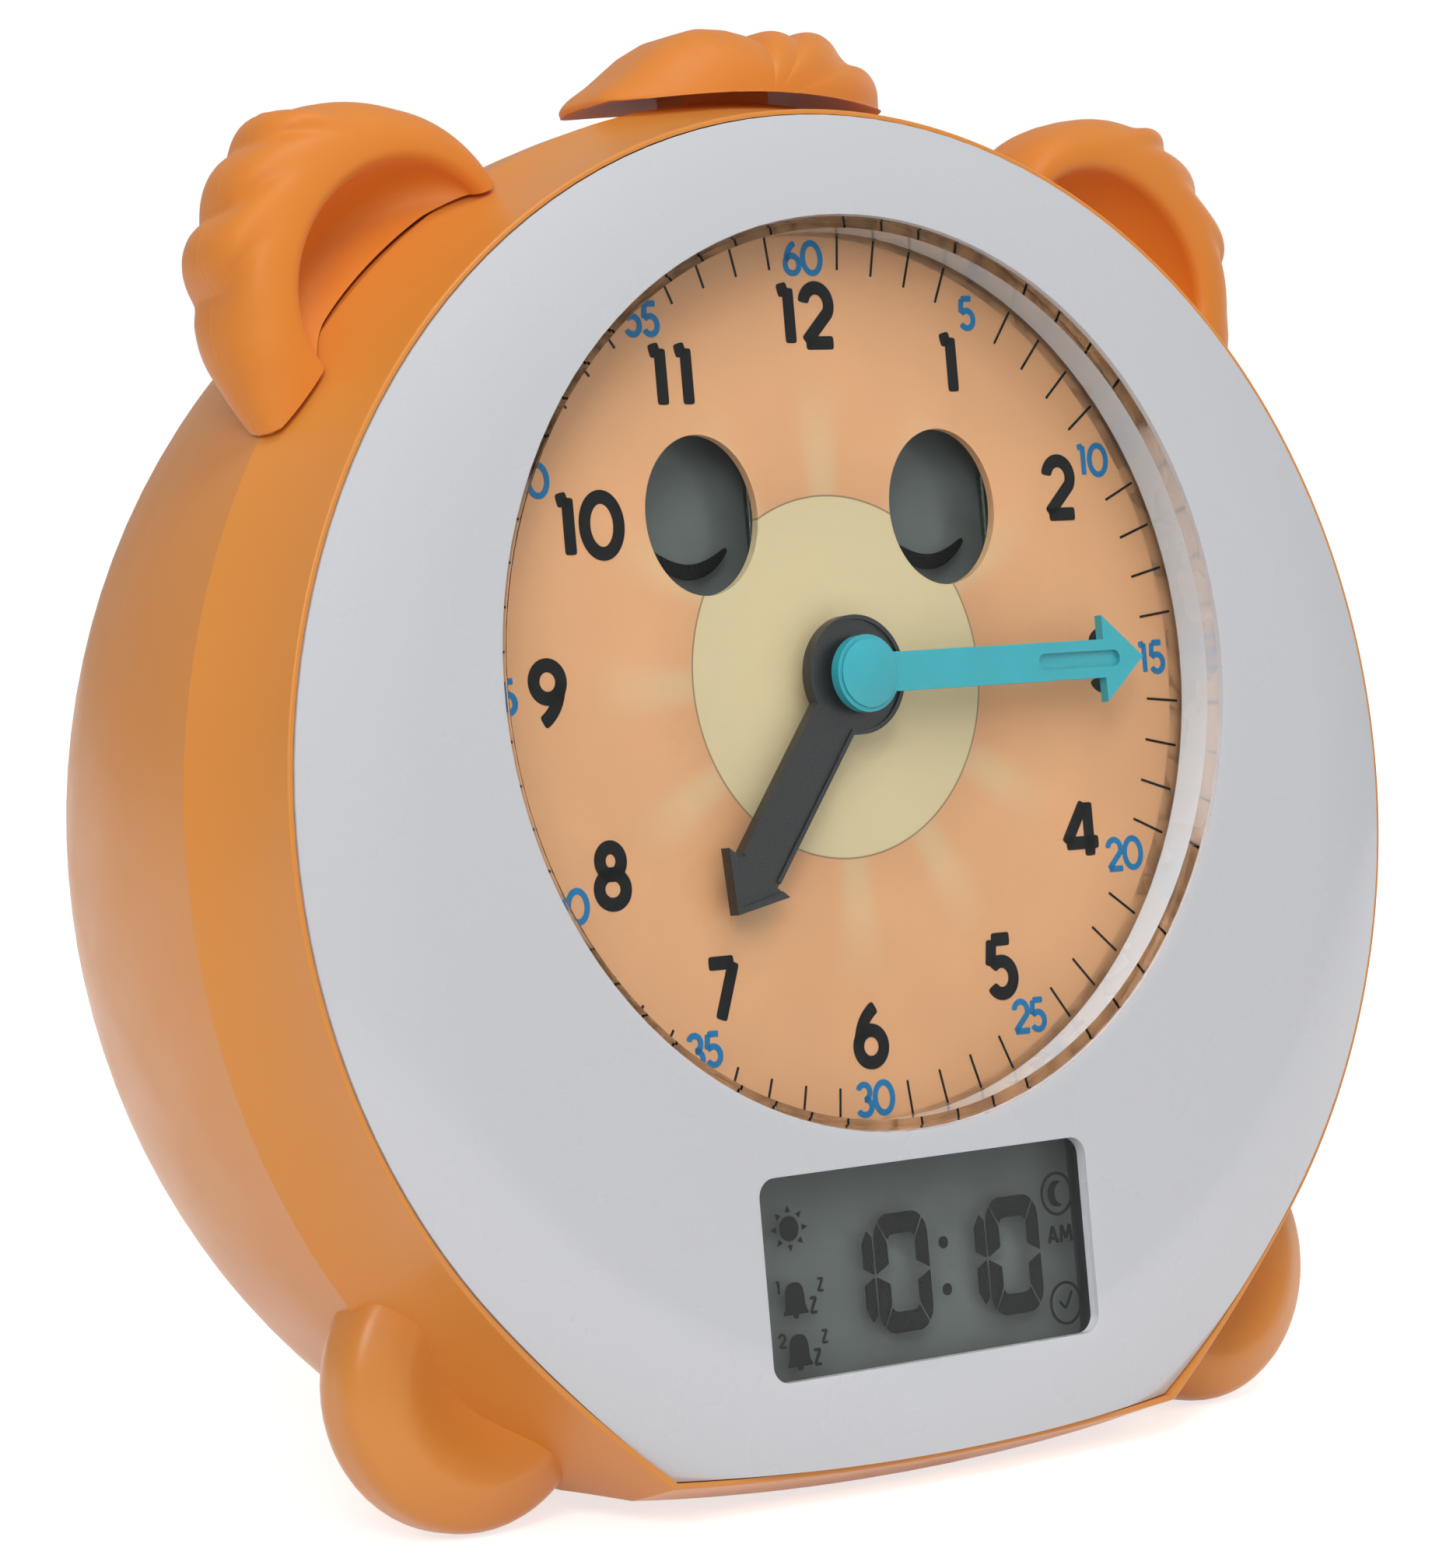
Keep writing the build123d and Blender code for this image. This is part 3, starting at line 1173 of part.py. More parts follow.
# ------------------------------------------------------------------ hands
with BuildPart() as hour_hand:
    hour_face = hand_face(HOUR_ANGLE, HOUR_WIDTH, HOUR_LENGTH, HOUR_BARB, HOUR_BOSS)
    add(slab(hour_face, HOUR_LEVELS[0], HOUR_LEVELS[1]))
    tip = (HOUR_LENGTH - HOUR_BARB[0], HOUR_BARB[1] / 2)
    with BuildSketch(level(HOUR_LEVELS[1])):
        Circle(HOUR_BOSS - HAND_EDGE)
        add(
            hand_face(
                HOUR_ANGLE,
                HOUR_WIDTH - 2 * HAND_EDGE,
                HOUR_LENGTH - HAND_EDGE * 2,
                (HOUR_BARB[0] - HAND_EDGE, HOUR_BARB[1] - 3 * HAND_EDGE),
                HOUR_BOSS - HAND_EDGE,
            )
        )
    extrude(amount=-HAND_EDGE / 2, mode=Mode.SUBTRACT)
    add(posts([(0, 0)], pipe_radius, HOUR_LEVELS[0], HOUR_LEVELS[1]), mode=Mode.SUBTRACT)
hour_hand.part.label = "hour_hand"

with BuildPart() as minute_hand:
    minute_face = hand_face(MINUTE_ANGLE, MINUTE_WIDTH, MINUTE_LENGTH, MINUTE_BARB, MINUTE_BOSS)
    add(slab(minute_face, MINUTE_LEVELS[0], MINUTE_LEVELS[1]))
    with BuildSketch(level(MINUTE_LEVELS[1])):
        with Locations(polar(MINUTE_LENGTH - MINUTE_SLOT_PLACE, MINUTE_ANGLE)):
            SlotOverall(*MINUTE_SLOT, rotation=MINUTE_ANGLE)
    extrude(amount=-HAND_EDGE, mode=Mode.SUBTRACT)
    add(posts([(0, 0)], ARBOR_RADIUS, MINUTE_LEVELS[0], MINUTE_LEVELS[1]), mode=Mode.SUBTRACT)
minute_hand.part.label = "minute_hand"

with BuildPart() as minute_cap:
    with BuildSketch(section()):
        with BuildLine():
            low, high = MINUTE_LEVELS[1], MINUTE_CAP_LEVEL
            rim = MINUTE_BOSS - HAND_EDGE
            Polyline((0, high), (0, low), (rim, low), (rim, low + HAND_EDGE / 2))
            TangentArc((0, high), (rim, low + HAND_EDGE / 2), tangent=(1, 0))
        make_face()
    revolve(axis=square_axis())
minute_cap.part.label = "minute_cap"

# ------------------------------------------------------------------ speaker
with BuildPart() as speaker:
    seat = back_inside
    add(
        turned(
            [
                (0, seat + SPEAKER_DISH),
                (SPEAKER_RADIUS - SPEAKER_EDGE, seat + CASE_WALL),
                (SPEAKER_RADIUS, seat),
                (SPEAKER_RADIUS, seat + CASE_WALL),
                (SPEAKER_RADIUS - SPEAKER_EDGE, seat + SPEAKER_SEAT),
                (SPEAKER_MAGNET, seat + SPEAKER_DEPTH / 2),
                (SPEAKER_MAGNET, seat + SPEAKER_DEPTH),
                (0, seat + SPEAKER_DEPTH),
            ],
            *SPEAKER_CENTRE,
        )
    )
speaker.part.label = "speaker"

with BuildPart() as speaker_clamp:
    low = back_inside + SPEAKER_SEAT
    bore = SPEAKER_RADIUS - SPEAKER_EDGE + GLASS_GAP
    add(posts([SPEAKER_CENTRE], SPEAKER_RADIUS + WALL, low, low + CASE_WALL, bore))
speaker_clamp.part.label = "speaker_clamp"

# ------------------------------------------------------------------ battery bay
with BuildPart() as battery_cells:
    for row, (x, y) in enumerate(cell_rows):
        way = 1 if row % 2 else -1
        start = Plane(spot(x - way * CELL_LENGTH / 2, y, cell_level), face.y_dir, (way, 0, 0))
        with BuildSketch(start):
            Circle(CELL_RADIUS)
        extrude(amount=CELL_LENGTH - CELL_NUB)
        with BuildSketch(start):
            Circle(CELL_NUB_RADIUS)
        extrude(amount=CELL_LENGTH)
battery_cells.part.label = "battery_cells"

with BuildPart() as battery_contacts:
    for row, (x, y) in enumerate(cell_rows):
        for side in (-1, 1):
            plate_x = x + side * (bay_half - CONTACT / 2)
            plate_low = cell_level - CONTACT_WIDTH / 2
            plate = (CONTACT, CONTACT_WIDTH)
            add(block((plate_x, y), plate, plate_low, plate_low + CONTACT_WIDTH))
            root = plate_x - side * CONTACT / 2
            tip = x + side * CELL_LENGTH / 2
            with BuildSketch(level(cell_level - CONTACT_LEAF / 2)):
                with BuildLine():
                    Polyline(
                        (root, y + CONTACT_LEAF),
                        (tip, y),
                        (root, y - CONTACT_LEAF),
                        (root, y - CONTACT_LEAF + CONTACT),
                        (tip + side * CONTACT, y),
                        (root, y + CONTACT_LEAF - CONTACT),
                        close=True,
                    )
                make_face()
            extrude(amount=CONTACT_LEAF)
battery_contacts.part.label = "battery_contacts"

with BuildPart() as battery_door:
    add(block(BAY_CENTRE, door_size, BACK_LEVEL, BACK_LEVEL + DOOR_THICKNESS, DOOR_CORNER))
    add(block(door_screw_place, DOOR_EAR, BACK_LEVEL, BACK_LEVEL + DOOR_THICKNESS, DOOR_CORNER))
    with BuildSketch(level(BACK_LEVEL)):
        with GridLocations(0, DOOR_RIB_PITCH, 1, DOOR_RIBS):
            with Locations(BAY_CENTRE):
                SlotOverall(DOOR_RIB_LENGTH, DOOR_RIB)
    extrude(amount=-DOOR_RIB / 2)
    add(
        posts([door_screw_place], SMALL_SCREW + PANE_GAP, BACK_LEVEL, BACK_LEVEL + DOOR_THICKNESS),
        mode=Mode.SUBTRACT,
    )
battery_door.part.label = "battery_door"

with BuildPart() as battery_door_screw:
    add(posts([door_screw_place], SMALL_SCREW, BACK_LEVEL, back_inside + DOOR_SCREW_REACH))
    add(posts([door_screw_place], SMALL_HEAD, BACK_LEVEL - SMALL_HEAD_HEIGHT, BACK_LEVEL))
battery_door_screw.part.label = "battery_door_screw"

# ------------------------------------------------------------------ rear buttons and light switch
rear_buttons = []
for name, place in BUTTON_PLACES.items():
    with BuildPart() as button:
        add(posts([place], BUTTON_RADIUS, BACK_LEVEL - BUTTON_STAND, flange_back))
        fillet(button.faces().sort_by(square_axis())[0].edges(), BUTTON_ROUND)
        add(posts([place], BUTTON_RADIUS + BUTTON_FLANGE, flange_back, flange_back + CASE_WALL))
        tip = switch_top - PLUNGER_HEIGHT - BUTTON_TRAVEL - PANE_GAP
        add(posts([place], PLUNGER_RADIUS, flange_back, tip))
    button.part.label = name
    rear_buttons.append(button)

with BuildPart() as button_board:
    with BuildSketch(level(button_board_level)):
        with Locations(BUTTON_BOARD_CENTRE):
            RectangleRounded(*BUTTON_BOARD_SIZE, DISPLAY_CORNER)
        with Locations(*BUTTON_BOARD_BOSSES):
            Circle(SMALL_SCREW + PANE_GAP, mode=Mode.SUBTRACT)
    extrude(amount=BOARD)
button_board.part.label = "button_board"

with BuildPart() as button_board_screws:
    high = button_board_level + BOARD
    add(posts(BUTTON_BOARD_BOSSES, SMALL_SCREW, back_inside + SMALL_HEAD_HEIGHT, high))
    add(posts(BUTTON_BOARD_BOSSES, SMALL_HEAD, high, high + SMALL_HEAD_HEIGHT))
button_board_screws.part.label = "button_board_screws"

with BuildPart() as button_switches:
    with BuildSketch(level(button_board_level)):
        with Locations(*BUTTON_PLACES.values()):
            Rectangle(SWITCH_BODY, SWITCH_BODY)
    extrude(amount=-SWITCH_BODY_HEIGHT)
    add(posts(BUTTON_PLACES.values(), PLUNGER_RADIUS, switch_top - PLUNGER_HEIGHT, switch_top))
button_switches.part.label = "button_switches"

with BuildPart() as light_switch_body:
    body_low = button_board_level - SLIDE_BODY[2]
    add(block(SWITCH_PLACE, SLIDE_BODY[:2], body_low, button_board_level))
    slot = grown((SLIDE_TANG[0] + 2 * SWITCH_TRAVEL, SLIDE_TANG[1]), GLASS_GAP)
    add(block(SWITCH_PLACE, slot, body_low, body_low + SLIDE_TANG[2]), mode=Mode.SUBTRACT)
light_switch_body.part.label = "light_switch_body"

with BuildPart() as light_switch_knob:
    knob_size = grown((SWITCH_SLOT[0] - 2 * SWITCH_TRAVEL, SWITCH_SLOT[1]), -BUTTON_GAP)
    add(block(SWITCH_PLACE, knob_size, BACK_LEVEL - BUTTON_STAND, flange_back))
    plate_size = (SWITCH_SLOT[0] + 2 * SWITCH_TRAVEL, SWITCH_SLOT[1] + 2 * BUTTON_FLANGE)
    add(block(SWITCH_PLACE, plate_size, flange_back, flange_back + CASE_WALL / 2))
    add(block(SWITCH_PLACE, SLIDE_TANG[:2], flange_back, body_low + SLIDE_TANG[2] - GLASS_GAP))
light_switch_knob.part.label = "light_switch_knob"

# ------------------------------------------------------------------ fasteners and rubber pads
with BuildPart() as housing_screws:
    add(posts(wells, SCREW_HEAD, SCREW_FLOOR - SCREW_HEAD, SCREW_FLOOR))
    add(posts(wells, SCREW_RADIUS, SCREW_FLOOR, deck_back - SCREW_TIP))
housing_screws.part.label = "housing_screws"

with BuildPart() as rubber_pads:
    with BuildSketch(Plane.XY):
        with Locations(*ring([PAD_PLACE])):
            Circle(PAD_RADIUS)
    extrude(amount=PAD_HEIGHT)
    add(below(0), mode=Mode.INTERSECT)
rubber_pads.part.label = "rubber_pads"

# ------------------------------------------------------------------ hand out the pieces
pieces = [
    front_housing, rear_housing, front_bezel, dial_lens, display_lens, dial_plate,
    eye_display_left, eye_display_right, eye_display_connectors, main_board, board_screws,
    display_board, time_display_connectors, time_display, light_board, night_light_leds,
    bezel_screws, ear_right, ear_left, snooze_button, snooze_springs, snooze_switch,
    movement_case_front, movement_plate, movement_case_rear, hub_nut, minute_arbor, step_wheel,
    rotor, motor_stator, motor_coil, minute_wheel, hour_wheel, setting_shaft, setting_knob,
    hour_hand, minute_hand, minute_cap, speaker, speaker_clamp, battery_cells, battery_contacts,
    battery_door, battery_door_screw, button_board, button_board_screws, button_switches,
    light_switch_body, light_switch_knob, housing_screws, rubber_pads, *rear_buttons,
]
os.makedirs("parts", exist_ok=True)
for piece in pieces:
    export_step(piece.part, f"parts/{piece.part.label}.step")
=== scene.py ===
"""Bedside alarm clock with a night light: finishes, soft ears and tuft, dial print and display."""

import json
import math

import bmesh
import bpy
import numpy as np
from mathutils import Matrix, Vector

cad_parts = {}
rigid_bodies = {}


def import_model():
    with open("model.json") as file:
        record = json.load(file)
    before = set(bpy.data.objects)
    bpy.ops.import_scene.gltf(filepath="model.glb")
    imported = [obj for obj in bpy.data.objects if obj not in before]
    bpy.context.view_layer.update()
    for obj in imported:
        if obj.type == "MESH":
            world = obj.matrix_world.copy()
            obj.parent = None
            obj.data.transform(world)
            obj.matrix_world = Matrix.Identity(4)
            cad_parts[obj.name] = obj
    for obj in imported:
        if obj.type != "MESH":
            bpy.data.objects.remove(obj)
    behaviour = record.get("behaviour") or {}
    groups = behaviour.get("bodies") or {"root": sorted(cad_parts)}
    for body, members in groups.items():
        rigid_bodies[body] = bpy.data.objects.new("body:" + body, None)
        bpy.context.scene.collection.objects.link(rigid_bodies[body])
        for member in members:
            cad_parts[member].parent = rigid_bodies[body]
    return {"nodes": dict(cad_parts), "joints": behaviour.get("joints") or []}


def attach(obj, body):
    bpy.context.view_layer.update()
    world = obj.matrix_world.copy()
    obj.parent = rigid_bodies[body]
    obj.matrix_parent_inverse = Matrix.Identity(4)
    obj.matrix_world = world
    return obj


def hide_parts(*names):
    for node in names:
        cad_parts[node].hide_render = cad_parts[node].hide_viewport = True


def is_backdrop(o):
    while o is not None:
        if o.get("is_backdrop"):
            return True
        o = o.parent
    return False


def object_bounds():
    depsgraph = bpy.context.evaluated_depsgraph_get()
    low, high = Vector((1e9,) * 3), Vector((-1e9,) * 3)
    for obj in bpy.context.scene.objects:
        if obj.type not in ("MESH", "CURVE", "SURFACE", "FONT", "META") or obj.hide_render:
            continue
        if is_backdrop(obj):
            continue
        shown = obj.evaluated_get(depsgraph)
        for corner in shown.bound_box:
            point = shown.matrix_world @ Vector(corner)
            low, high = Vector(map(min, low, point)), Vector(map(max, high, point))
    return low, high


bl_info = {
    "name": "Bedside Alarm Clock",
    "version": (1, 0, 0),
    "blender": (4, 5, 0),
    "location": "3D View > Sidebar > Clock",
    "description": "Dresses a bedside alarm clock: soft parts, printed dial, displays and stage",
    "category": "Add Mesh",
}

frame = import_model()
NODES = frame["nodes"]
BODY = "clock_body"
MM = 0.001
WELD = 2e-6  # points nearer than this, in metres, become one
SHARP = math.radians(70)  # a smooth piece's edges that turn more than this stay sharp

# The dial's own frame: x to the right, y up the face, level out of it.
HAND_JOINT = next(j for j in frame["joints"] if j["name"] == "minute_hand_turn")
CENTRE = np.array(HAND_JOINT["pos_m"])
OUT = -np.array(HAND_JOINT["axis"])
RIGHT = np.array((1.0, 0.0, 0.0))
UP = np.cross(OUT, RIGHT)
FACE_TILT = math.atan2(-OUT[1], OUT[2])

# The housing round which the soft parts lie, in millimetres.
SEAM_RADIUS = 96.0
SEAM_CENTRE = np.array((0.0, -18.2))
SEAM_LEVEL = -9.5
DOME_DEPTH = 62.2
RIM_TAPER = 0.3


def tone(red, green, blue):
    """A colour of the screen, 0 to 255, as the linear numbers that a shader takes."""
    share = np.array((red, green, blue)) / 255
    curve = np.where(share <= 0.04045, share / 12.92, ((share + 0.055) / 1.055) ** 2.4)
    return tuple(float(c) for c in curve)


# ------------------------------------------------------------------ settings


def colour(name, description, red, green, blue):
    return bpy.props.FloatVectorProperty(
        name=name,
        description=description,
        subtype="COLOR",
        size=3,
        min=0.0,
        max=1.0,
        default=tone(red, green, blue),
    )


def length(name, description, value):
    return bpy.props.FloatProperty(
        name=name, description=description, unit="LENGTH", min=0.0, default=value * MM
    )


class ClockColours(bpy.types.PropertyGroup):
    """Colours of the clock's finishes."""

    housing: colour("Housing", "Moulded housing", 228, 146, 62)
    soft: colour("Ears and tuft", "Soft rubber of the ears and the tuft", 228, 136, 44)
    front: colour("Front", "Milky white front", 213, 214, 219)
    dial: colour("Dial", "Printed ground of the dial", 189, 139, 97)
    sun: colour("Sun disc", "Cream disc in the middle of the dial", 184, 168, 130)
    numbers: colour("Hour numbers", "Hour numbers and minute lines", 9, 10, 11)
    minutes: colour("Minute numbers", "Minute numbers", 18, 98, 144)
    minute_hand: colour("Minute hand", "Minute hand and its cap", 28, 140, 151)
    hour_hand: colour("Hour hand", "Hour hand", 14, 16, 18)
    reflector: colour("Display ground", "Reflector behind the liquid crystal", 84, 90, 87)
    segments: colour("Segments", "Dark parts of the liquid crystal", 5, 6, 6)
    buttons: colour("Buttons", "Rear buttons and knobs", 206, 206, 203)


class ClockSoftParts(bpy.types.PropertyGroup):
    """Sizes of the ears and the tuft."""

    ear_gap: length("Ear gap", "Between an ear and the housing", 0.45)
    bowl_across: length("Bowl across", "Half width of the bowl, square to the rim", 14.4)
    bowl_along: length("Bowl along", "Half width of the bowl, along the rim", 16.6)
    bowl_depth: length("Bowl depth", "Depth of the bowl", 10.5)
    bowl_edge: length("Bowl edge", "Softness of the bowl's edge", 1.8)
    tuft_gap: length("Tuft gap", "Between the tuft and the housing, with its travel", 2.3)
    mould_line: length("Mould line", "Height of the line left by the mould's halves", 0.12)


class ClockPrint(bpy.types.PropertyGroup):
    """Sizes of the dial's print and of the display."""

    hour_height: length("Hour numbers", "Height of the hour numbers", 9.0)
    minute_height: length("Minute numbers", "Height of the minute numbers", 4.9)
    tick_start: length("Line start", "Inner radius of the minute lines", 54.2)
    tick_end: length("Line end", "Outer radius of the minute lines", 60.3)
    tick_width: length("Line width", "Width of the minute lines", 0.34)
    ink: length("Ink", "Thickness of the print", 0.06)
    digit_width: length("Digit width", "Width of a digit of the display", 9.0)
    digit_height: length("Digit height", "Height of a digit of the display", 15.7)


class ClockStage(bpy.types.PropertyGroup):
    """Camera, floor and lamps."""

    lens: bpy.props.FloatProperty(
        name="Lens", description="Focal length in millimetres", min=1.0, default=127.22
    )
    key: bpy.props.FloatProperty(
        name="Key lamp", description="Power of the large lamp", unit="POWER", default=4.5
    )
    fill: bpy.props.FloatProperty(
        name="Fill lamp", description="Power of the lamp at the right", unit="POWER", default=1.2
    )
    top: bpy.props.FloatProperty(
        name="Top lamp", description="Power of the lamp above", unit="POWER", default=2.9
    )
    ambient: bpy.props.FloatProperty(
        name="Ambient", description="Light from all round", min=0.0, default=0.42
    )


# ------------------------------------------------------------------ surfaces from numbers


def spot(x, y, level):
    """Points in metres: the dial's centre + x to the right + y up the face + level out of it."""
    x, y, level = np.broadcast_arrays(x, y, level)
    across = x[..., None] * RIGHT + y[..., None] * UP + level[..., None] * OUT
    return CENTRE + MM * across


def grid_faces(rows, columns, around=False, along=False):
    """Quads over a grid of rows x columns, wrapped round the columns or along the rows if asked."""
    index = np.arange(rows * columns).reshape(rows, columns)
    if around:
        index = np.concatenate((index, index[:, :1]), axis=1)
    if along:
        index = np.concatenate((index, index[:1]), axis=0)
    corners = (index[:-1, :-1], index[1:, :-1], index[1:, 1:], index[:-1, 1:])
    return np.stack(corners, axis=-1).reshape(-1, 4)


def add_piece(name, parts, slot, material, *replaced, body=BODY, smooth=False):
    """One closed mesh from parts of (points, faces), on a body, for CAD nodes if some are named.

    Seams and poles are welded, faces of no size dropped, and all faces turned outward.
    """
    points, faces, base = [], [], 0
    for own_points, own_faces in parts:
        flat = np.asarray(own_points).reshape(-1, 3)
        points.append(flat)
        faces.extend([[base + corner for corner in face] for face in own_faces])
        base += len(flat)
    mesh = bpy.data.meshes.new(name)
    mesh.from_pydata(np.concatenate(points).tolist(), [], faces)
    work = bmesh.new()
    work.from_mesh(mesh)
    bmesh.ops.remove_doubles(work, verts=work.verts, dist=WELD)
    bmesh.ops.dissolve_degenerate(work, edges=work.edges, dist=WELD / 2)
    bmesh.ops.recalc_face_normals(work, faces=work.faces)
    work.to_mesh(mesh)
    work.free()
    mesh.polygons.foreach_set("use_smooth", np.full(len(mesh.polygons), smooth))
    if smooth:
        mesh.set_sharp_from_angle(angle=SHARP)
    mesh.update()
    mesh.materials.append(material)
    piece = bpy.data.objects.new(name, mesh)
    bpy.context.scene.collection.objects.link(piece)
    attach(piece, body)
    if replaced:
        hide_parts(*replaced)


def slab(outline, low, high):
    """A plate with a closed outline, n x 2, between two levels: two caps and their wall."""
    outline = np.asarray(outline, float)
    count = len(outline)
    rings = np.concatenate([spot(outline[:, 0], outline[:, 1], level) for level in (low, high)])
    wall = grid_faces(2, count, around=True).tolist()
    caps = [list(range(count))[::-1], list(range(count, 2 * count))]
    return rings, wall + caps


def sheet(x, y, wide, tall, low, high):
    """A rectangular plate about (x, y), between two levels."""
    signs = np.array(((-1, -1), (1, -1), (1, 1), (-1, 1)))
    return slab((x, y) + signs * (wide / 2, tall / 2), low, high)


def ribbon(path, half, low, high, closed=False, taper=0.0):
    """A flat bar carried along a path, n x 2.

    Its half width is half, and over the last stretch e of an open path it closes as
    half x (1 - (1 - s/e)^4)^(1/4), a nearly square end with rounded corners. With a taper the bar
    also narrows from its middle to its ends as 1 - taper x (2 s/length - 1)^2.
    """
    path = np.asarray(path, float)
    if closed:
        ahead, behind = np.roll(path, -1, 0), np.roll(path, 1, 0)
        width = np.full(len(path), half)
    else:
        step = np.hypot(*np.diff(path, axis=0).T)
        run = np.concatenate(((0.0,), np.cumsum(step)))
        total = run[-1]
        end = min(0.75 * half, total / 2)
        fine = end * (1 - np.cos(np.linspace(0, math.pi / 2, 7)))
        between = run[(run > end) & (run < total - end)]
        stops = np.unique(np.concatenate((fine, between, total - fine)))
        path = np.stack([np.interp(stops, run, path[:, k]) for k in (0, 1)], axis=1)
        near = np.clip(np.minimum(stops, total - stops) / end, 0, 1)
        width = half * (1 - (1 - near) ** 4) ** 0.25
        width = width * (1 - taper * (2 * stops / total - 1) ** 2)
        ahead = np.concatenate((path[1:], path[-1:]))
        behind = np.concatenate((path[:1], path[:-1]))
    heading = ahead - behind
    heading /= np.hypot(*heading.T)[:, None]
    side = np.stack((-heading[:, 1], heading[:, 0]), axis=1) * width[:, None]
    left, right = path + side, path - side
    edges = ((left, low), (right, low), (right, high), (left, high))
    points = np.stack([spot(edge[:, 0], edge[:, 1], level) for edge, level in edges], axis=1)
    return points, grid_faces(len(path), 4, around=True, along=closed).tolist()


def line(*corners):
    """Straight runs between corners, as a list of paths of one run each."""
    return [np.array((a, b)) for a, b in zip(corners, corners[1:])]


def arc(x, y, wide, high, start, end, steps=28):
    """Part of an ellipse about (x, y), from one angle to another, in degrees."""
    angle = np.radians(np.linspace(start, end, steps))
    return np.stack((x + wide * np.cos(angle), y + high * np.sin(angle)), axis=1)


def loop(x, y, wide, high, steps=40):
    """A whole ellipse about (x, y), without its end repeated."""
    return arc(x, y, wide, high, 0, 360, steps + 1)[:-1]


STROKE = 0.1  # half width of a number's stroke, in heights
# Each character's width, open strokes and closed strokes, about its foot's middle, in heights.
NUMBERS = {
    "0": (0.78, [], [loop(0, 0.5, 0.30, 0.407)]),
    "1": (0.46, [*line((0.05, 0.907), (0.05, 0.093)), *line((-0.14, 0.86), (0.05, 0.905))], []),
    "2": (
        0.66,
        [
            np.concatenate((arc(0, 0.655, 0.235, 0.252, 172, -28, 26), ((-0.235, 0.105),))),
            *line((-0.235, 0.093), (0.275, 0.093)),
        ],
        [],
    ),
    "3": (0.64, [arc(0, 0.70, 0.2, 0.207, 160, -90), arc(0, 0.30, 0.235, 0.207, 90, -160)], []),
    "4": (
        0.74,
        [*line((0.07, 0.9), (-0.33, 0.3), (0.31, 0.3)), *line((0.13, 0.907), (0.13, 0.093))],
        [],
    ),
    "5": (
        0.62,
        [
            *line((0.2, 0.907), (-0.15, 0.907), (-0.2, 0.52)),
            arc(0, 0.335, 0.225, 0.242, 142, -152, 30),
        ],
        [],
    ),
    "6": (0.66, [arc(0.42, 0.36, 0.62, 0.62, 118, 176, 14)], [loop(0, 0.33, 0.235, 0.237)]),
    "7": (0.64, [*line((-0.235, 0.907), (0.215, 0.907), (-0.09, 0.093))], []),
    "8": (0.64, [], [loop(0, 0.71, 0.185, 0.197), loop(0, 0.31, 0.232, 0.217)]),
    "9": (0.66, [arc(-0.42, 0.64, 0.62, 0.62, -62, -4, 14)], [loop(0, 0.67, 0.235, 0.237)]),
    "A": (
        0.74,
        [*line((-0.27, 0.093), (0.0, 0.907), (0.27, 0.093)), *line((-0.17, 0.33), (0.17, 0.33))],
        [],
    ),
    "M": (
        0.9,
        [*line((-0.33, 0.093), (-0.25, 0.907), (0.0, 0.25), (0.25, 0.907), (0.33, 0.093))],
        [],
    ),
    "Z": (0.62, [*line((-0.21, 0.907), (0.21, 0.907), (-0.21, 0.093), (0.23, 0.093))], []),
}


def written(text, x, y, high, low, top, stroke=STROKE, snug=1.0):
    """Characters side by side about (x, y), their strokes scaled to a height, as ribbons."""
    widths = [NUMBERS[c][0] * snug for c in text]
    place_x = x - sum(widths) * high / 2
    laid = []
    for character, wide in zip(text, widths):
        middle = np.array((place_x + wide * high / 2, y - high / 2))
        half = stroke * high
        for whole, paths in zip((False, True), NUMBERS[character][1:]):
            laid += [ribbon(middle + path * high, half, low, top, whole) for path in paths]
        place_x += wide * high
    return laid


# ------------------------------------------------------------------ the soft ears and the tuft


def housing_radius(level):
    """Radius of the housing about the seam's centre line, in millimetres.

    Behind the seam it is R x (1 - share^1.84)^(1/8), where R is the seam's radius and share runs
    from 0 at the seam to 1 at the dome's pole. Before it the wall tapers evenly.
    """
    share = np.clip((level - SEAM_LEVEL) / -DOME_DEPTH, 0, 0.999)
    before = np.clip(level - SEAM_LEVEL, 0, 20)
    return SEAM_RADIUS * (1 - share**1.84) ** 0.125 - RIM_TAPER * before


def off_housing(x, y, level, gap):
    """Pushes points that are nearer to the housing than gap straight out to that distance."""
    dx, dy = x - SEAM_CENTRE[0], y - SEAM_CENTRE[1]
    radius = np.hypot(dx, dy)
    least = housing_radius(level) + gap
    grow = np.maximum(1.0, least / np.maximum(radius, 1e-6))
    return SEAM_CENTRE[0] + dx * grow, SEAM_CENTRE[1] + dy * grow


def three_point_arc(a, b, c, steps=24):
    """Points of the circle through a, b and c, from a to c.

    The centre is where the perpendicular bisectors meet, and the angle runs from a's to c's past b.
    """
    a, b, c = (np.asarray(p, float) for p in (a, b, c))
    rows = 2 * np.array((b - a, c - a))
    middle = np.linalg.solve(rows, np.array((b @ b - a @ a, c @ c - a @ a)))
    angles = [math.atan2(*(p - middle)[::-1]) for p in (a, b, c)]
    turn = (angles[2] - angles[0]) % (2 * math.pi)
    if (angles[1] - angles[0]) % (2 * math.pi) > turn:
        turn -= 2 * math.pi
    angle = angles[0] + np.linspace(0, turn, steps)
    radius = math.hypot(*(a - middle))
    return middle + radius * np.stack((np.cos(angle), np.sin(angle)), axis=1)


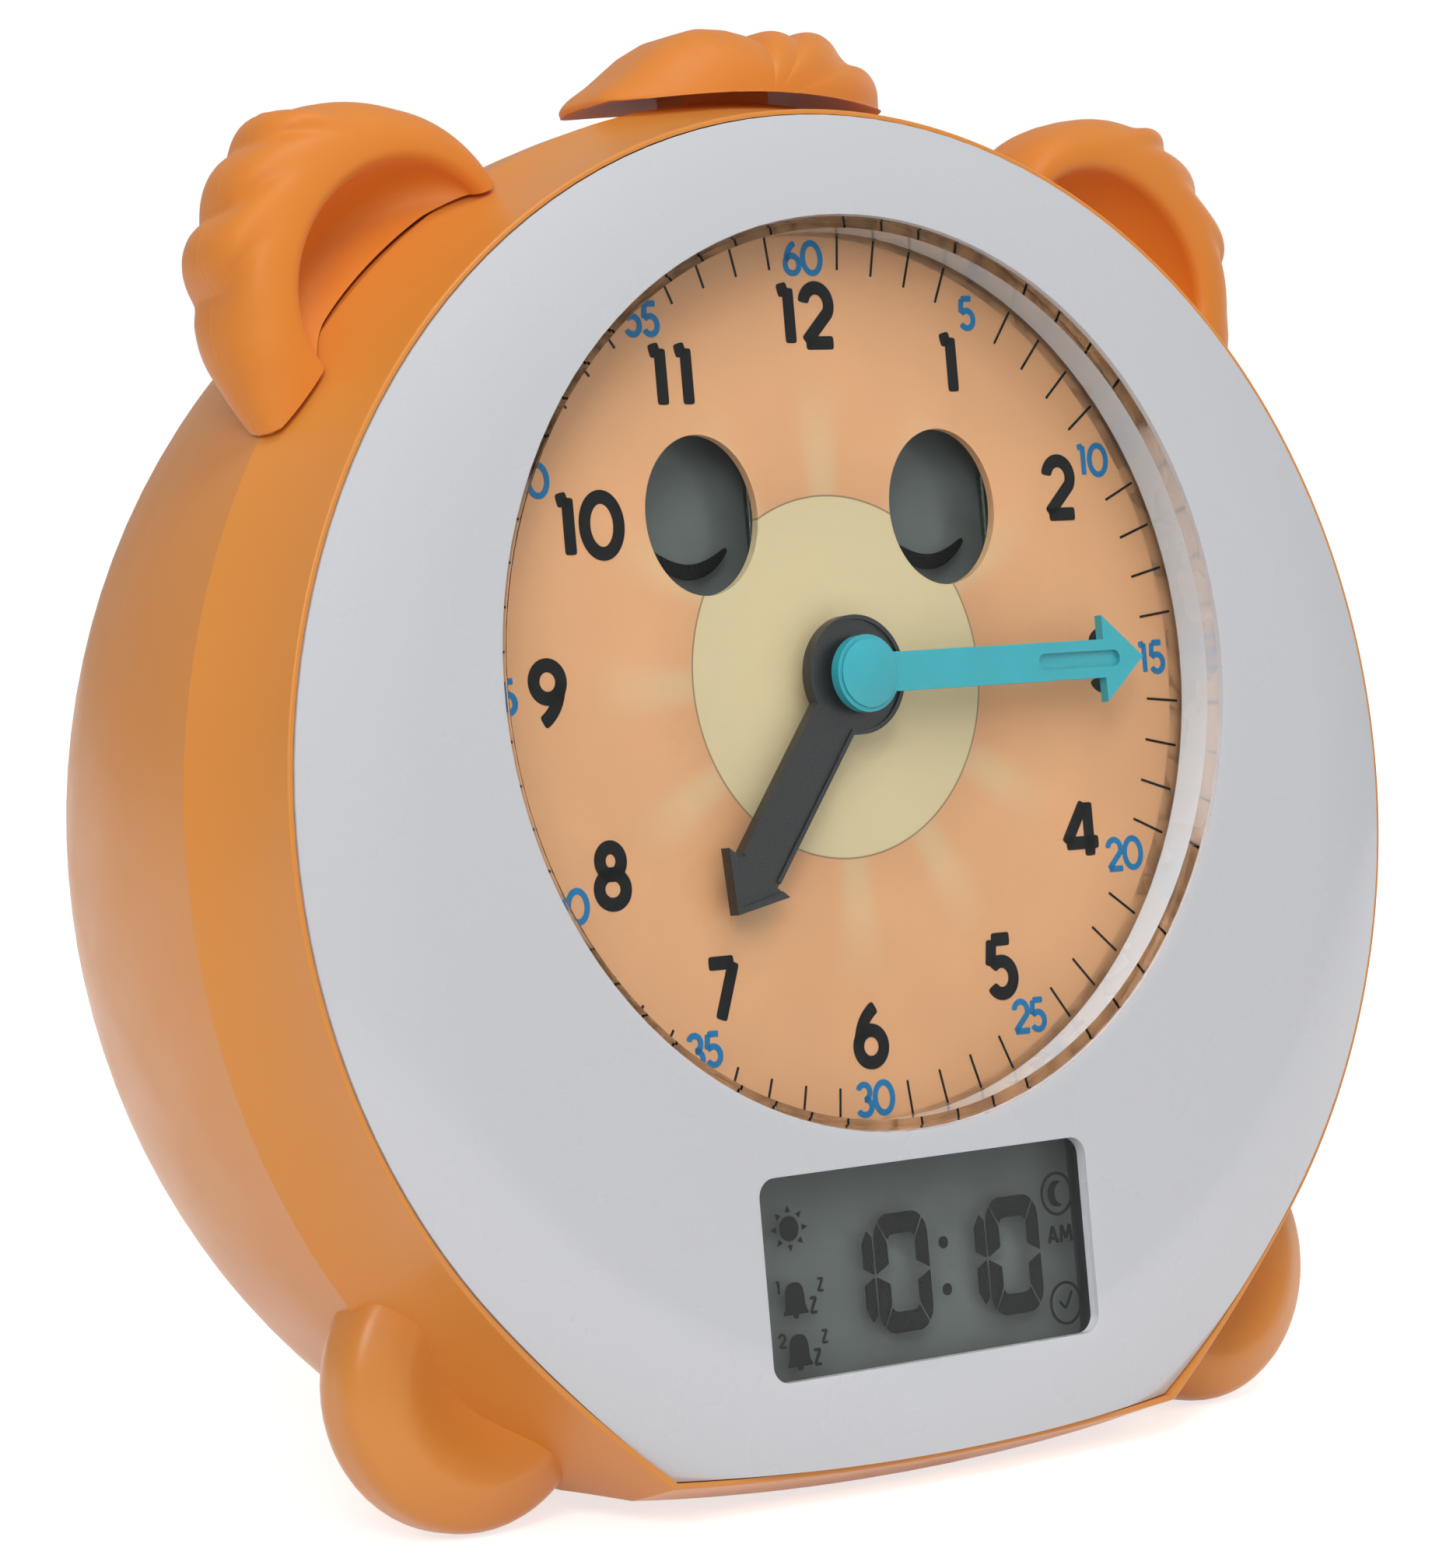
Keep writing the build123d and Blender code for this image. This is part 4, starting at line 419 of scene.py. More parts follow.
def reach(outline, centre, angle, blur):
    """Distance from the centre to a closed outline at each angle, softened over blur degrees.

    The softening is a weighted mean with weights exp(-(d/blur)^2) over the neighbouring angles.
    """
    dx, dy = (outline - centre).T
    own = np.mod(np.arctan2(dy, dx), 2 * math.pi)
    order = np.argsort(own)
    far = np.interp(angle, own[order], np.hypot(dx, dy)[order], period=2 * math.pi)
    pitch = math.degrees(angle[1] - angle[0])
    spread = int(3 * blur / pitch)
    offsets = np.arange(-spread, spread + 1)
    weights = np.exp(-((offsets * pitch / blur) ** 2))
    weights /= weights.sum()
    return sum(w * np.roll(far, k) for w, k in zip(weights, offsets))


EAR_ARCS = (
    ((43.6, 66.4), (48.6, 72.9), (56.5, 76.2)),
    ((56.5, 76.2), (65.0, 76.9), (71.0, 75.5)),
    ((71.0, 75.5), (75.4, 74.2), (75.8, 71.3)),
    ((75.8, 71.3), (79.9, 68.5), (80.6, 62.8)),
    ((80.6, 62.8), (84.6, 58.8), (82.5, 53.0)),
    ((82.5, 53.0), (83.7, 47.5), (82.6, 41.6)),
    ((82.6, 41.6), (81.6, 38.0), (80.4, 34.4)),
)
EAR_INSIDE = ((70.0, 24.0), (40.0, 40.0), (30.0, 58.0))  # closes the outline in the housing
EAR_FRONT, EAR_WIDE, EAR_BACK = -4.4, -13.2, -24.0
EAR_BAND = 0.6  # half height of the band that holds the mould's line
EAR_SHOULDER = 10.0  # how far the back rounds in from the outline
LAND_POWER, BACK_POWER = 2.3, 2.2
FAN_PLACE, FAN_RADIUS = math.radians(48.0), 84.0  # the fan's centre, seen from the seam's
FAN = np.radians(np.linspace(-24.0, 121.0, 340))
ROUND = np.linspace(0, 2 * math.pi, 720, endpoint=False)
BOWL_CENTRE = np.array((59.6, 53.2))
SHALLOW_FROM, SHALLOW_OVER = 95.0, 8.0  # radii about the seam's centre where the bowl gets deep
OUTLINE_BLUR, CALM_BLUR = 1.6, 11.0  # in degrees: the outline, and the outline without locks
LOCK_RANGE = (-1.8, 1.4)
LOCK_TURN = math.radians(26.0)
LOCK_FADE, SWELL_FADE, SWELL = 4.5, 5.0, 0.8
LOCKS_FROM, LOCKS_TO = 4, 76  # degrees of the fan
HEEL_FROM, HEEL_SPAN = math.radians(12), math.radians(34)
HEEL_BACK, HEEL_LIFT, HEEL_REACH = 0.62, 4.2, 9.0  # back pulled in, widest line lifted, over levels
ROWS = 64  # samples of each stretch of a section
ROW_STEPS = (3, 8, 2, 7, 4, 8)  # which of them a mesh keeps, from floor to underside


def ear_surface(soft, side):
    """One ear as a fan of closed sections about a point inside the housing.

    The angle runs round the fan from the heel to the root. Along a section runs: the bowl's floor,
    depth x (1 - q^2)^(1/2) below the front, where q is the distance from the bowl's centre in its
    own half widths, and shallower towards the housing by 0.2 + 0.8 sin; a quarter round at the lip;
    a superellipse |s|^2.3 + |z|^2.3 = 1 out to the outline; the band of the mould's line; a
    superellipse of power 2.2 in to the flat back. Both ends of a section stop where it meets the
    housing, and the underside follows the housing at the ear's gap. The locks are the outline's
    waves, which turn towards the root and fade on their way in from the outline.
    """
    ahead = np.array((math.cos(FAN_PLACE), math.sin(FAN_PLACE)))
    frame_2d = np.stack((ahead, (-ahead[1], ahead[0])))
    heart = SEAM_CENTRE + FAN_RADIUS * ahead
    outline = np.concatenate([three_point_arc(*points) for points in EAR_ARCS] + [EAR_INSIDE])
    edge_all = reach(outline, heart, ROUND, OUTLINE_BLUR)
    calm_all = reach(outline, heart, ROUND, CALM_BLUR)
    turned = np.degrees((ROUND + math.pi) % (2 * math.pi) - math.pi)
    window = np.clip((LOCKS_TO - turned) / 10, 0, 1) * np.clip((turned - LOCKS_FROM) / 8, 0, 1)
    wave_all = np.clip(edge_all - calm_all, *LOCK_RANGE) * window

    def at(values, angle):
        return np.interp(angle, ROUND, values, period=2 * math.pi)

    edge = at(edge_all, FAN)
    calm = edge - at(wave_all, FAN)
    heading = np.stack((np.cos(FAN), np.sin(FAN)))
    start_x, start_y = heart - SEAM_CENTRE

    # The lip: where a ray from the fan's centre leaves the bowl's ellipse.
    halves = np.array((soft.bowl_across / MM, soft.bowl_along / MM))
    start = (frame_2d @ (heart - BOWL_CENTRE)) / halves
    step = (frame_2d @ heading) / halves[:, None]
    a, b, c = (step**2).sum(0), start @ step, start @ start - 1
    lip = (-b + np.sqrt(b**2 - a * c)) / a
    lip_round = soft.bowl_edge / MM
    lip_level = EAR_FRONT - lip_round

    share = np.linspace(0, 1, ROWS + 1)[:, None]
    quarter = share * math.pi / 2
    # floor
    floor = lip * (0.25 + 0.75 * np.sin(quarter))
    q = np.hypot(start[0] + floor * step[0], start[1] + floor * step[1])
    past = np.hypot(start_x + floor * heading[0], start_y + floor * heading[1]) - SHALLOW_FROM
    shallow = 0.2 + 0.8 * np.sin(np.clip(past / SHALLOW_OVER, 0, 1) * math.pi / 2)
    hollow = soft.bowl_depth / MM * np.sqrt(np.clip(1 - q**2, 0, 1)) * shallow
    section = [(floor, lip_level - hollow)]
    # lip
    share, quarter = share[1:], quarter[1:]
    rise = lip_level + lip_round * np.sin(quarter)
    section.append((lip + lip_round * (1 - np.cos(quarter)), rise))
    # land, with the locks
    out, drop = np.sin(quarter) ** (2 / LAND_POWER), np.cos(quarter) ** (2 / LAND_POWER)
    wave = at(wave_all, FAN - LOCK_TURN * (1 - out))
    top, band = lip + lip_round, EAR_WIDE + EAR_BAND
    swell = wave * SWELL * np.sin(math.pi * out**SWELL_FADE)
    land = top + (calm - top) * out + wave * out**LOCK_FADE
    section.append((land, band + (EAR_FRONT - band) * drop + swell))
    # band with the mould's line
    down = -2 * EAR_BAND * share
    ridge = soft.mould_line / MM * np.exp(-(((down + EAR_BAND) / 0.2) ** 2))
    section.append((edge + ridge, band + down))
    # back, round and then flat
    back, sink = np.cos(quarter) ** (2 / BACK_POWER), np.sin(quarter) ** (2 / BACK_POWER)
    band = EAR_WIDE - EAR_BAND
    ease = (edge - calm) * (back**2 - 1)
    section.append((edge - EAR_SHOULDER * (1 - back) + ease, band + (EAR_BACK - band) * sink))
    section.append(((calm - EAR_SHOULDER) * (1 - 0.85 * share), EAR_BACK))
    section = [np.broadcast_arrays(far, height) for far, height in section]
    rho, level = (np.concatenate(values) for values in zip(*section))

    # Towards the heel the widest line comes forward.
    forward = np.clip((HEEL_FROM - FAN) / HEEL_SPAN, 0, 1) ** 1.5
    level = level - HEEL_BACK * forward**0.7 * np.minimum(level - EAR_WIDE, 0)
    near = np.clip(1 - np.abs(level - EAR_WIDE) / HEEL_REACH, 0, 1)
    level = level + HEEL_LIFT * forward * near

    # Ends of each section at the housing, found between two samples.
    far = np.hypot(start_x + rho * heading[0], start_y + rho * heading[1])
    clear = far - housing_radius(level) - soft.ear_gap / MM
    row = np.arange(len(rho))[:, None]
    widest = np.argmax(clear, axis=0)
    first = np.where((clear < 0) & (row < widest), row, 0).max(axis=0)
    last = np.where((clear < 0) & (row > widest), row, len(rho) - 1).min(axis=0)
    keep = np.flatnonzero(clear.max(axis=0) > 0.05)
    rho, level, clear, heading = rho[:, keep], level[:, keep], clear[:, keep], heading[:, keep]
    first, last, columns = first[keep], last[keep], np.arange(len(keep))

    def crossing(low, high):
        gap_low, gap_high = clear[low, columns], clear[high, columns]
        return low + (high - low) * np.clip(gap_low / (gap_low - gap_high), 0, 1)

    kept_rows = [np.arange(ROWS * k, ROWS * (k + 1), step) for k, step in enumerate(ROW_STEPS)]
    stops = np.concatenate(kept_rows + [[len(rho) - 1]])[:, None]
    stops = np.clip(stops, crossing(first, first + 1), crossing(last - 1, last))
    whole = np.minimum(stops.astype(int), len(rho) - 2)
    part = stops - whole
    rho, level = (
        values[whole, columns] * (1 - part) + values[whole + 1, columns] * part
        for values in (rho, level)
    )
    x, y = start_x + rho * heading[0], start_y + rho * heading[1]

    # The underside, along the housing from the back to the front.
    share = np.linspace(0, 1, 9)[1:-1, None]
    under_level = level[-1] * (1 - share) + level[0] * share
    phi = np.arctan2(y[-1], x[-1]) * (1 - share) + np.arctan2(y[0], x[0]) * share
    radius = housing_radius(under_level) + soft.ear_gap / MM
    x = np.concatenate((x, radius * np.cos(phi))) + SEAM_CENTRE[0]
    y = np.concatenate((y, radius * np.sin(phi))) + SEAM_CENTRE[1]
    points = np.stack((x, y, np.concatenate((level, under_level))), axis=-1)
    points[:, (0, -1)] = points[:, (0, -1)].mean(axis=0, keepdims=True)
    rows, wide = points.shape[:2]
    x, y, level = points.reshape(-1, 3).T
    return spot(side * x, y, level), grid_faces(rows, wide, along=True).tolist()


TUFT_OUTLINE = [
    (-22.6, 76.9),
    (-23.3, 77.8),
    (-21.8, 79.3),
    (-18.4, 81.3),
    (-13.0, 85.1),
    (-9.0, 87.1),
    (-5.6, 87.95),
    (-2.0, 87.9),
    (1.2, 87.3),
]
TUFT_LOBES = [
    ((1.2, 87.3), (2.4, 86.8), (3.3, 86.3)),
    ((3.3, 86.3), (6.4, 88.0), (10.1, 86.9)),
    ((10.1, 86.9), (13.8, 88.0), (17.2, 86.0)),
    ((17.2, 86.0), (18.2, 84.6), (19.6, 83.5)),
    ((19.6, 83.5), (23.4, 82.0), (24.3, 78.4)),
]
TUFT_UNDER = ((22.0, 68.0), (-20.0, 68.0), (-22.6, 76.9))  # closes the outline in the housing
TUFT_FRONT, TUFT_WIDE, TUFT_REAR, TUFT_BACK = -3.5, -12.5, -18.0, -27.0
TUFT_CENTRE = np.array((0.5, 77.0))
TUFT_POWER = 2.2
STEM = (-19.2, -12.8)  # levels of the tuft's stem and its flange


def tuft_surface(soft):
    """The tuft as a grid of rings about a point inside it, like an ear without its bowl.

    The section goes from the front's middle over a superellipse |s|^2.2 + |z|^2.2 = 1 to the
    outline, along the side and back in. Points nearer to the housing than the gap are pushed out.
    """
    top = np.array(TUFT_OUTLINE)
    run = np.concatenate(((0.0,), np.cumsum(np.hypot(*np.diff(top, axis=0).T))))
    fine = np.linspace(0, run[-1], 90)
    top = np.stack([np.interp(fine, run, top[:, k]) for k in (0, 1)], axis=1)
    lobes = [three_point_arc(*points, 20) for points in TUFT_LOBES]
    outline = np.concatenate((top, *lobes, TUFT_UNDER))
    angle = np.linspace(0, 2 * math.pi, 480, endpoint=False)
    edge = reach(outline, TUFT_CENTRE, angle, 1.3)

    def quarter(bend, wide, end):
        """Distance and level over a quarter of the superellipse, from its pole or back to it."""
        out, drop = np.sin(bend) ** (2 / TUFT_POWER), np.cos(bend) ** (2 / TUFT_POWER)
        return edge * out, wide + (end - wide) * drop + 0 * edge

    bend = np.linspace(0, math.pi / 2, 30)[:, None]
    along = np.linspace(0, 1, 7)[1:, None]
    side = edge + 0 * along, TUFT_WIDE + (TUFT_REAR - TUFT_WIDE) * along + 0 * edge
    inward = np.linspace(math.pi / 2, 0, 22)[1:, None]
    section = (quarter(bend, TUFT_WIDE, TUFT_FRONT), side, quarter(inward, TUFT_REAR, TUFT_BACK))
    rho, level = (np.concatenate(values) for values in zip(*section))
    x, y = TUFT_CENTRE[0] + rho * np.cos(angle), TUFT_CENTRE[1] + rho * np.sin(angle)
    x, y = off_housing(x, y, level, soft.tuft_gap / MM)
    return spot(x, y, level), grid_faces(len(rho), len(angle), around=True).tolist()


# ------------------------------------------------------------------ materials


class Nodes:
    """Short ways to build the node tree of a new material, by its name, or of a world."""

    def __init__(self, owner, output="ShaderNodeOutputMaterial"):
        if isinstance(owner, str):
            owner = bpy.data.materials.new(owner)
        self.owner = owner
        owner.use_nodes = True
        self.tree = owner.node_tree
        self.tree.nodes.clear()
        self.output = self.add(output)

    def put(self, socket, value):
        """A number into a socket, or a link from another socket."""
        if isinstance(value, bpy.types.NodeSocket):
            self.tree.links.new(value, socket)
        else:
            socket.default_value = value

    def add(self, kind, inputs=None, **settings):
        """A node with settings, whose inputs are numbers or other nodes' sockets."""
        node = self.tree.nodes.new(kind)
        for key, value in settings.items():
            setattr(node, key, value)
        for key, value in (inputs or {}).items():
            self.put(node.inputs[key], value)
        return node

    def objects(self):
        """Object coordinates."""
        return self.add("ShaderNodeTexCoord").outputs["Object"]

    def face(self):
        """Object coordinates turned into millimetres of the dial's own frame."""
        mapping = self.add(
            "ShaderNodeMapping",
            {
                "Vector": self.objects(),
                "Location": tuple(CENTRE),
                "Rotation": (FACE_TILT, 0.0, 0.0),
                "Scale": (MM, MM, MM),
            },
            vector_type="TEXTURE",
        )
        return mapping.outputs["Vector"]

    def noise(self, where, scale, detail=3.0, roughness=0.55):
        inputs = {"Vector": where, "Scale": scale, "Detail": detail, "Roughness": roughness}
        return self.add("ShaderNodeTexNoise", inputs).outputs["Fac"]

    def spread(self, value, low, high, start=0.0, end=1.0):
        """A value mapped from start..end to low..high and held there."""
        inputs = {"Value": value, "From Min": start, "From Max": end, "To Min": low, "To Max": high}
        return self.add("ShaderNodeMapRange", inputs, clamp=True).outputs["Result"]

    def uneven(self, value, low=0.0, high=1.0):
        """Noise, whose values lie mostly from 0.3 to 0.7, mapped to low..high."""
        return self.spread(value, low, high, 0.3, 0.7)

    def maths(self, operation, *values):
        node = self.add("ShaderNodeMath", operation=operation)
        for socket, value in zip(node.inputs, values):
            self.put(socket, value)
        return node.outputs[0]

    def mixed(self, factor, a, b):
        """One colour into another by a factor."""
        return self.add("ShaderNodeMix", {0: factor, 6: a, 7: b}, data_type="RGBA").outputs[2]

    def tinted(self, value, base, low, high):
        """A colour that drifts with noise between a darker and a lighter shade of itself."""
        return self.mixed(self.uneven(value), shade(base, low), shade(base, high))

    def bump(self, height, strength, distance):
        inputs = {"Height": height, "Strength": strength, "Distance": distance}
        return self.add("ShaderNodeBump", inputs).outputs["Normal"]

    def finish(self, shader):
        self.tree.links.new(shader, self.output.inputs["Surface"])
        return self.owner

    def principled(self, tint, gloss, normal, others=None):
        """Finishes the material with colour, roughness, skin and other inputs by name."""
        inputs = {"Base Color": tint, "Roughness": gloss, "Normal": normal, **(others or {})}
        return self.finish(self.add("ShaderNodeBsdfPrincipled", inputs).outputs["BSDF"])


def shade(colour_value, factor):
    """A colour made darker or lighter, as four numbers."""
    return tuple(min(1.0, c * factor) for c in colour_value) + (1.0,)


def moulded(name, base, rough=0.4, drift=0.06, grain=900.0, depth=0.00002, coat=0.0, specular=0.5):
    """Moulded plastic: slow drift of its colour, fine uneven gloss and a fine skin grain."""
    n = Nodes(name)
    where = n.objects()
    return n.principled(
        n.tinted(n.noise(where, 14.0, 2.0), base, 1 - drift, 1 + drift),
        n.uneven(n.noise(where, 90.0, 4.0), rough - 0.04, rough + 0.05),
        n.bump(n.noise(where, grain, 2.0), 0.25, depth),
        {"Specular IOR Level": specular, "Coat Weight": coat, "Coat Roughness": 0.15},
    )


def soft_rubber(name, base):
    """Soft silicone: matt, with a faint bloom at grazing angles and a very fine skin."""
    n = Nodes(name)
    where = n.objects()
    return n.principled(
        n.tinted(n.noise(where, 22.0), base, 0.95, 1.05),
        n.uneven(n.noise(where, 130.0, 4.0), 0.46, 0.56),
        n.bump(n.noise(where, 1500.0, 2.0), 0.2, 0.00002),
        {
            "Sheen Weight": 0.12,
            "Sheen Roughness": 0.5,
            "Subsurface Weight": 0.06,
            "Subsurface Radius": (1.0, 0.45, 0.15),
            "Subsurface Scale": 0.002,
            "Specular IOR Level": 0.4,
        },
    )


def milky_white(name, base):
    """Glossy milky plastic that a lamp can shine through."""
    n = Nodes(name)
    where = n.objects()
    return n.principled(
        n.tinted(n.noise(where, 9.0, 2.0), base, 0.985, 1.01),
        n.uneven(n.noise(where, 60.0), 0.26, 0.29),
        n.bump(n.noise(where, 900.0, 2.0), 0.12, 0.00001),
        {
            "Subsurface Weight": 0.2,
            "Subsurface Radius": (1.0, 1.0, 1.0),
            "Subsurface Scale": 0.003,
            "Coat Weight": 0.6,
            "Coat Roughness": 0.1,
        },
    )


def clear_pane(name, ior):
    """Clear acrylic with a trace of haze, that lets the lamps' light through."""
    n = Nodes(name)
    inputs = {
        "Base Color": (0.97, 0.985, 0.985, 1.0),
        "Roughness": n.spread(n.noise(n.objects(), 60.0, 4.0), 0.0, 0.004, 0.6, 0.8),
        "IOR": ior,
        "Transmission Weight": 1.0,
    }
    glass = n.add("ShaderNodeBsdfPrincipled", inputs).outputs["BSDF"]
    through = n.add("ShaderNodeBsdfTransparent", {"Color": (0.96, 0.96, 0.96, 1.0)}).outputs[0]
    shadow = n.add("ShaderNodeLightPath").outputs["Is Shadow Ray"]
    return n.finish(n.add("ShaderNodeMixShader", {0: shadow, 1: glass, 2: through}).outputs[0])


SUN_RADIUS = 24.0
RAYS = 12.0


def dial_paper(name, colours):
    """Printed dial: a warm ground, a cream sun disc with a thin edge and soft airbrushed rays."""
    n = Nodes(name)
    place_mm = n.face()
    split = n.add("ShaderNodeSeparateXYZ", {"Vector": place_mm})
    x, y = split.outputs["X"], split.outputs["Y"]
    flat = n.add("ShaderNodeCombineXYZ", {"X": x, "Y": y}).outputs[0]
    far = n.add("ShaderNodeVectorMath", {0: flat}, operation="LENGTH").outputs["Value"]
    ground = n.tinted(n.noise(flat, 0.035, 2.0), colours.dial, 0.94, 1.05)
    deeper = n.spread(far, 0, 1, 40, 62)
    ground = n.mixed(n.maths("MULTIPLY", deeper, 0.25), ground, shade(colours.dial, 0.8))
    turn = n.maths("MULTIPLY", n.maths("ARCTAN2", y, x), RAYS)
    rays = n.spread(n.maths("COSINE", turn), 0, 1, 0.1, 0.95)
    glow = n.maths("MULTIPLY", rays, n.spread(far, 1, 0, SUN_RADIUS + 1, SUN_RADIUS + 17))
    ground = n.mixed(n.maths("MULTIPLY", glow, 0.55), ground, (*colours.sun, 1.0))
    halo = n.maths("MULTIPLY", n.spread(far, 1, 0, SUN_RADIUS, SUN_RADIUS + 7), 0.35)
    ground = n.mixed(halo, ground, shade(colours.dial, 0.72))
    fall = n.spread(far, 0, 1, 4, SUN_RADIUS)
    disc_tint = n.mixed(fall, shade(colours.sun, 1.06), shade(colours.sun, 0.93))
    disc = n.spread(far, 1, 0, SUN_RADIUS - 0.1, SUN_RADIUS + 0.05)
    ground = n.mixed(disc, ground, disc_tint)
    off_edge = n.maths("ABSOLUTE", n.maths("SUBTRACT", far, SUN_RADIUS))
    ring = n.maths("MULTIPLY", n.spread(off_edge, 1, 0, 0.05, 0.18), 0.8)
    return n.principled(
        n.mixed(ring, ground, (0.12, 0.075, 0.045, 1.0)),
        n.uneven(n.noise(place_mm, 0.4, 4.0), 0.42, 0.55),
        n.bump(n.noise(place_mm, 7.0), 0.1, 0.00002),
        {"Specular IOR Level": 0.4},
    )


def brushed_metal(name, base, rough=0.3):
    """Metal with fine drawn lines."""
    n = Nodes(name)
    drawn = {"Vector": n.objects(), "Scale": (300.0, 300.0, 4000.0)}
    lines = n.noise(n.add("ShaderNodeMapping", drawn).outputs["Vector"], 1.0, 4.0)
    return n.principled(
        n.tinted(lines, base, 0.85, 1.08),
        n.uneven(lines, rough - 0.07, rough + 0.1),
        n.bump(lines, 0.15, 0.00002),
        {"Metallic": 1.0},
    )


def painted_metal(name, base, rough=0.32):
    """Stamped metal hand with a smooth coat of paint and a little orange peel."""
    n = Nodes(name)
    where = n.objects()
    slow = n.noise(where, 60.0)
    return n.principled(
        n.tinted(slow, base, 0.95, 1.05),
        n.uneven(slow, rough - 0.05, rough + 0.06),
        n.bump(n.noise(where, 700.0, 2.0), 0.2, 0.00003),
        {"Coat Weight": 0.2, "Coat Roughness": 0.2},
    )


def circuit_board(name, base):
    """Fibreglass board with a green coat over copper lines."""
    n = Nodes(name)
    where = n.add("ShaderNodeMapping", {"Vector": n.face(), "Scale": (0.35, 0.35, 0.02)}).outputs[0]
    cells = n.add(
        "ShaderNodeTexVoronoi", {"Vector": where, "Scale": 1.0}, distance="CHEBYCHEV", feature="F1"
    )
    lines = n.maths("FRACT", n.maths("MULTIPLY", cells.outputs["Distance"], 7.0))
    copper = n.spread(lines, 0, 1, 0.45, 0.55)
    return n.principled(
        n.mixed(copper, shade(base, 0.75), shade(base, 1.5)),
        0.35,
        n.bump(copper, 0.3, 0.00005),
        {"Coat Weight": 0.3, "Coat Roughness": 0.2},
    )


def banded(name, base, second, bands, metallic=0.0, rough=0.4):
    """A finish in fine bands, for windings and layered strips."""
    n = Nodes(name)
    inputs = {"Vector": n.objects(), "Scale": bands, "Distortion": 0.3, "Detail": 1.0}
    wave = n.add("ShaderNodeTexWave", inputs, bands_direction="X").outputs["Fac"]
    return n.principled(
        n.mixed(wave, (*base, 1.0), (*second, 1.0)),
        n.spread(wave, rough - 0.05, rough + 0.1),
        n.bump(wave, 0.4, 0.0001),
        {"Metallic": metallic},
    )


def cell_sleeve(name):
    """Dry cell: a dark shrunk sleeve with a coppery end, by its place along the cell."""
    n = Nodes(name)
    x = n.add("ShaderNodeSeparateXYZ", {"Vector": n.face()}).outputs["X"]
    off_middle = n.maths("ABSOLUTE", x)
    end = n.spread(off_middle, 0, 1, 16.5, 16.8)
    cap = n.spread(off_middle, 0, 1, 24.2, 24.4)
    sleeve = n.mixed(end, (0.03, 0.035, 0.045, 1.0), (0.55, 0.28, 0.12, 1.0))
    return n.principled(
        n.mixed(cap, sleeve, (0.7, 0.7, 0.72, 1.0)),
        n.spread(n.noise(n.objects(), 200.0, 2.0), 0.28, 0.4),
        n.bump(n.noise(n.objects(), 500.0, 2.0), 0.2, 0.00003),
        {"Metallic": n.maths("MAXIMUM", cap, n.maths("MULTIPLY", end, 0.6))},
    )


def grey_reflector(name, base):
    """Ground of a liquid crystal display: a grey film with a faint cloud and fine sparkle."""
    n = Nodes(name)
    where = n.face()
    cloud = n.spread(n.noise(where, 0.09), 0, 1, 0.35, 0.65)
    fine = n.noise(where, 6.0, 2.0)
    return n.principled(
        n.mixed(cloud, shade(base, 0.9), shade(base, 1.1)),
        n.spread(fine, 0.45, 0.6),
        n.bump(fine, 0.2, 0.00002),
        {"Specular IOR Level": 0.3},
    )


def fine_ink(name, base, specular, rough=0.42, drift=0.05):
    """Printed ink or a dark crystal: nearly even, with a very fine skin."""
    return moulded(name, base, rough, drift, 2500.0, 0.00001, specular=specular)


def dress(material, *names):
    """Gives CAD nodes a finish in the place of their plain one."""
    for name in names:
        node = NODES[name]
        for slot in node.material_slots:
            slot.material = material


# ------------------------------------------------------------------ operators


class CLOCK_OT_housing(bpy.types.Operator):
    """Finish the front and rear housing and the milky white front."""

    bl_idname = "clock.housing"
    bl_label = "Housing and front"

    def execute(self, context):
        colours = context.scene.clock_colours
        shell = moulded("moulded_orange", colours.housing, 0.36, 0.03, 1100.0, 0.000015, 0.06)
        dress(shell, "front_housing", "rear_housing", "battery_door")
        dress(milky_white("milky_white", colours.front), "front_bezel")
        dress(clear_pane("clear_acrylic", 1.17), "dial_lens")
        return {"FINISHED"}


class CLOCK_OT_ears(bpy.types.Operator):
    """Model the two soft ears with their bowls, locks and mould line."""

    bl_idname = "clock.ears"
    bl_label = "Ears"

    def execute(self, context):
        soft = context.scene.clock_soft
        rubber = soft_rubber("soft_orange_ears", context.scene.clock_colours.soft)
        for name, side in (("ear_left", -1), ("ear_right", 1)):
            parts = [ear_surface(soft, side)]
            add_piece(f"soft_{name}", parts, "soft_orange", rubber, name, smooth=True)
        return {"FINISHED"}


class CLOCK_OT_tuft(bpy.types.Operator):
    """Model the soft tuft that is pressed for snooze and light, with its stem."""

    bl_idname = "clock.tuft"
    bl_label = "Tuft"

    def execute(self, context):
        soft = context.scene.clock_soft
        rubber = soft_rubber("soft_orange_tuft", context.scene.clock_colours.soft)
        stem, flange = sheet(0, 74.1, 14, 15.8, *STEM), sheet(0, 72.7, 27, 1.8, *STEM)
        parts = [tuft_surface(soft), stem, flange]
        add_piece(
            "soft_tuft", parts, "soft_orange", rubber, "snooze_button", body="snooze", smooth=True
        )
        return {"FINISHED"}


# Middles of the numbers in the dial's frame, from 12 or 60 on, clockwise.
HOUR_PLACES = (
    ((-0.5, 47.9), (23.6, 41.1), (41.2, 24.0), (46.6, 0.0), (40.0, -22.9), (23.5, -40.3))
    + ((0.1, -47.4), (-23.3, -39.6), (-39.5, -23.5), (-46.9, 0.1), (-38.4, 21.2), (-23.2, 40.1))
)
MINUTE_PLACES = (
    ((0.0, 55.5), (27.4, 48.0), (47.6, 27.6), (55.3, 0.0), (47.3, -26.7), (27.7, -47.3))
    + ((0.0, -55.8), (-27.3, -46.9), (-46.9, -27.0), (-54.9, 0.0), (-47.2, 27.2), (-27.3, 47.6))
)
PRINT_LOW = -0.03  # the ink's underside, a little inside the dial


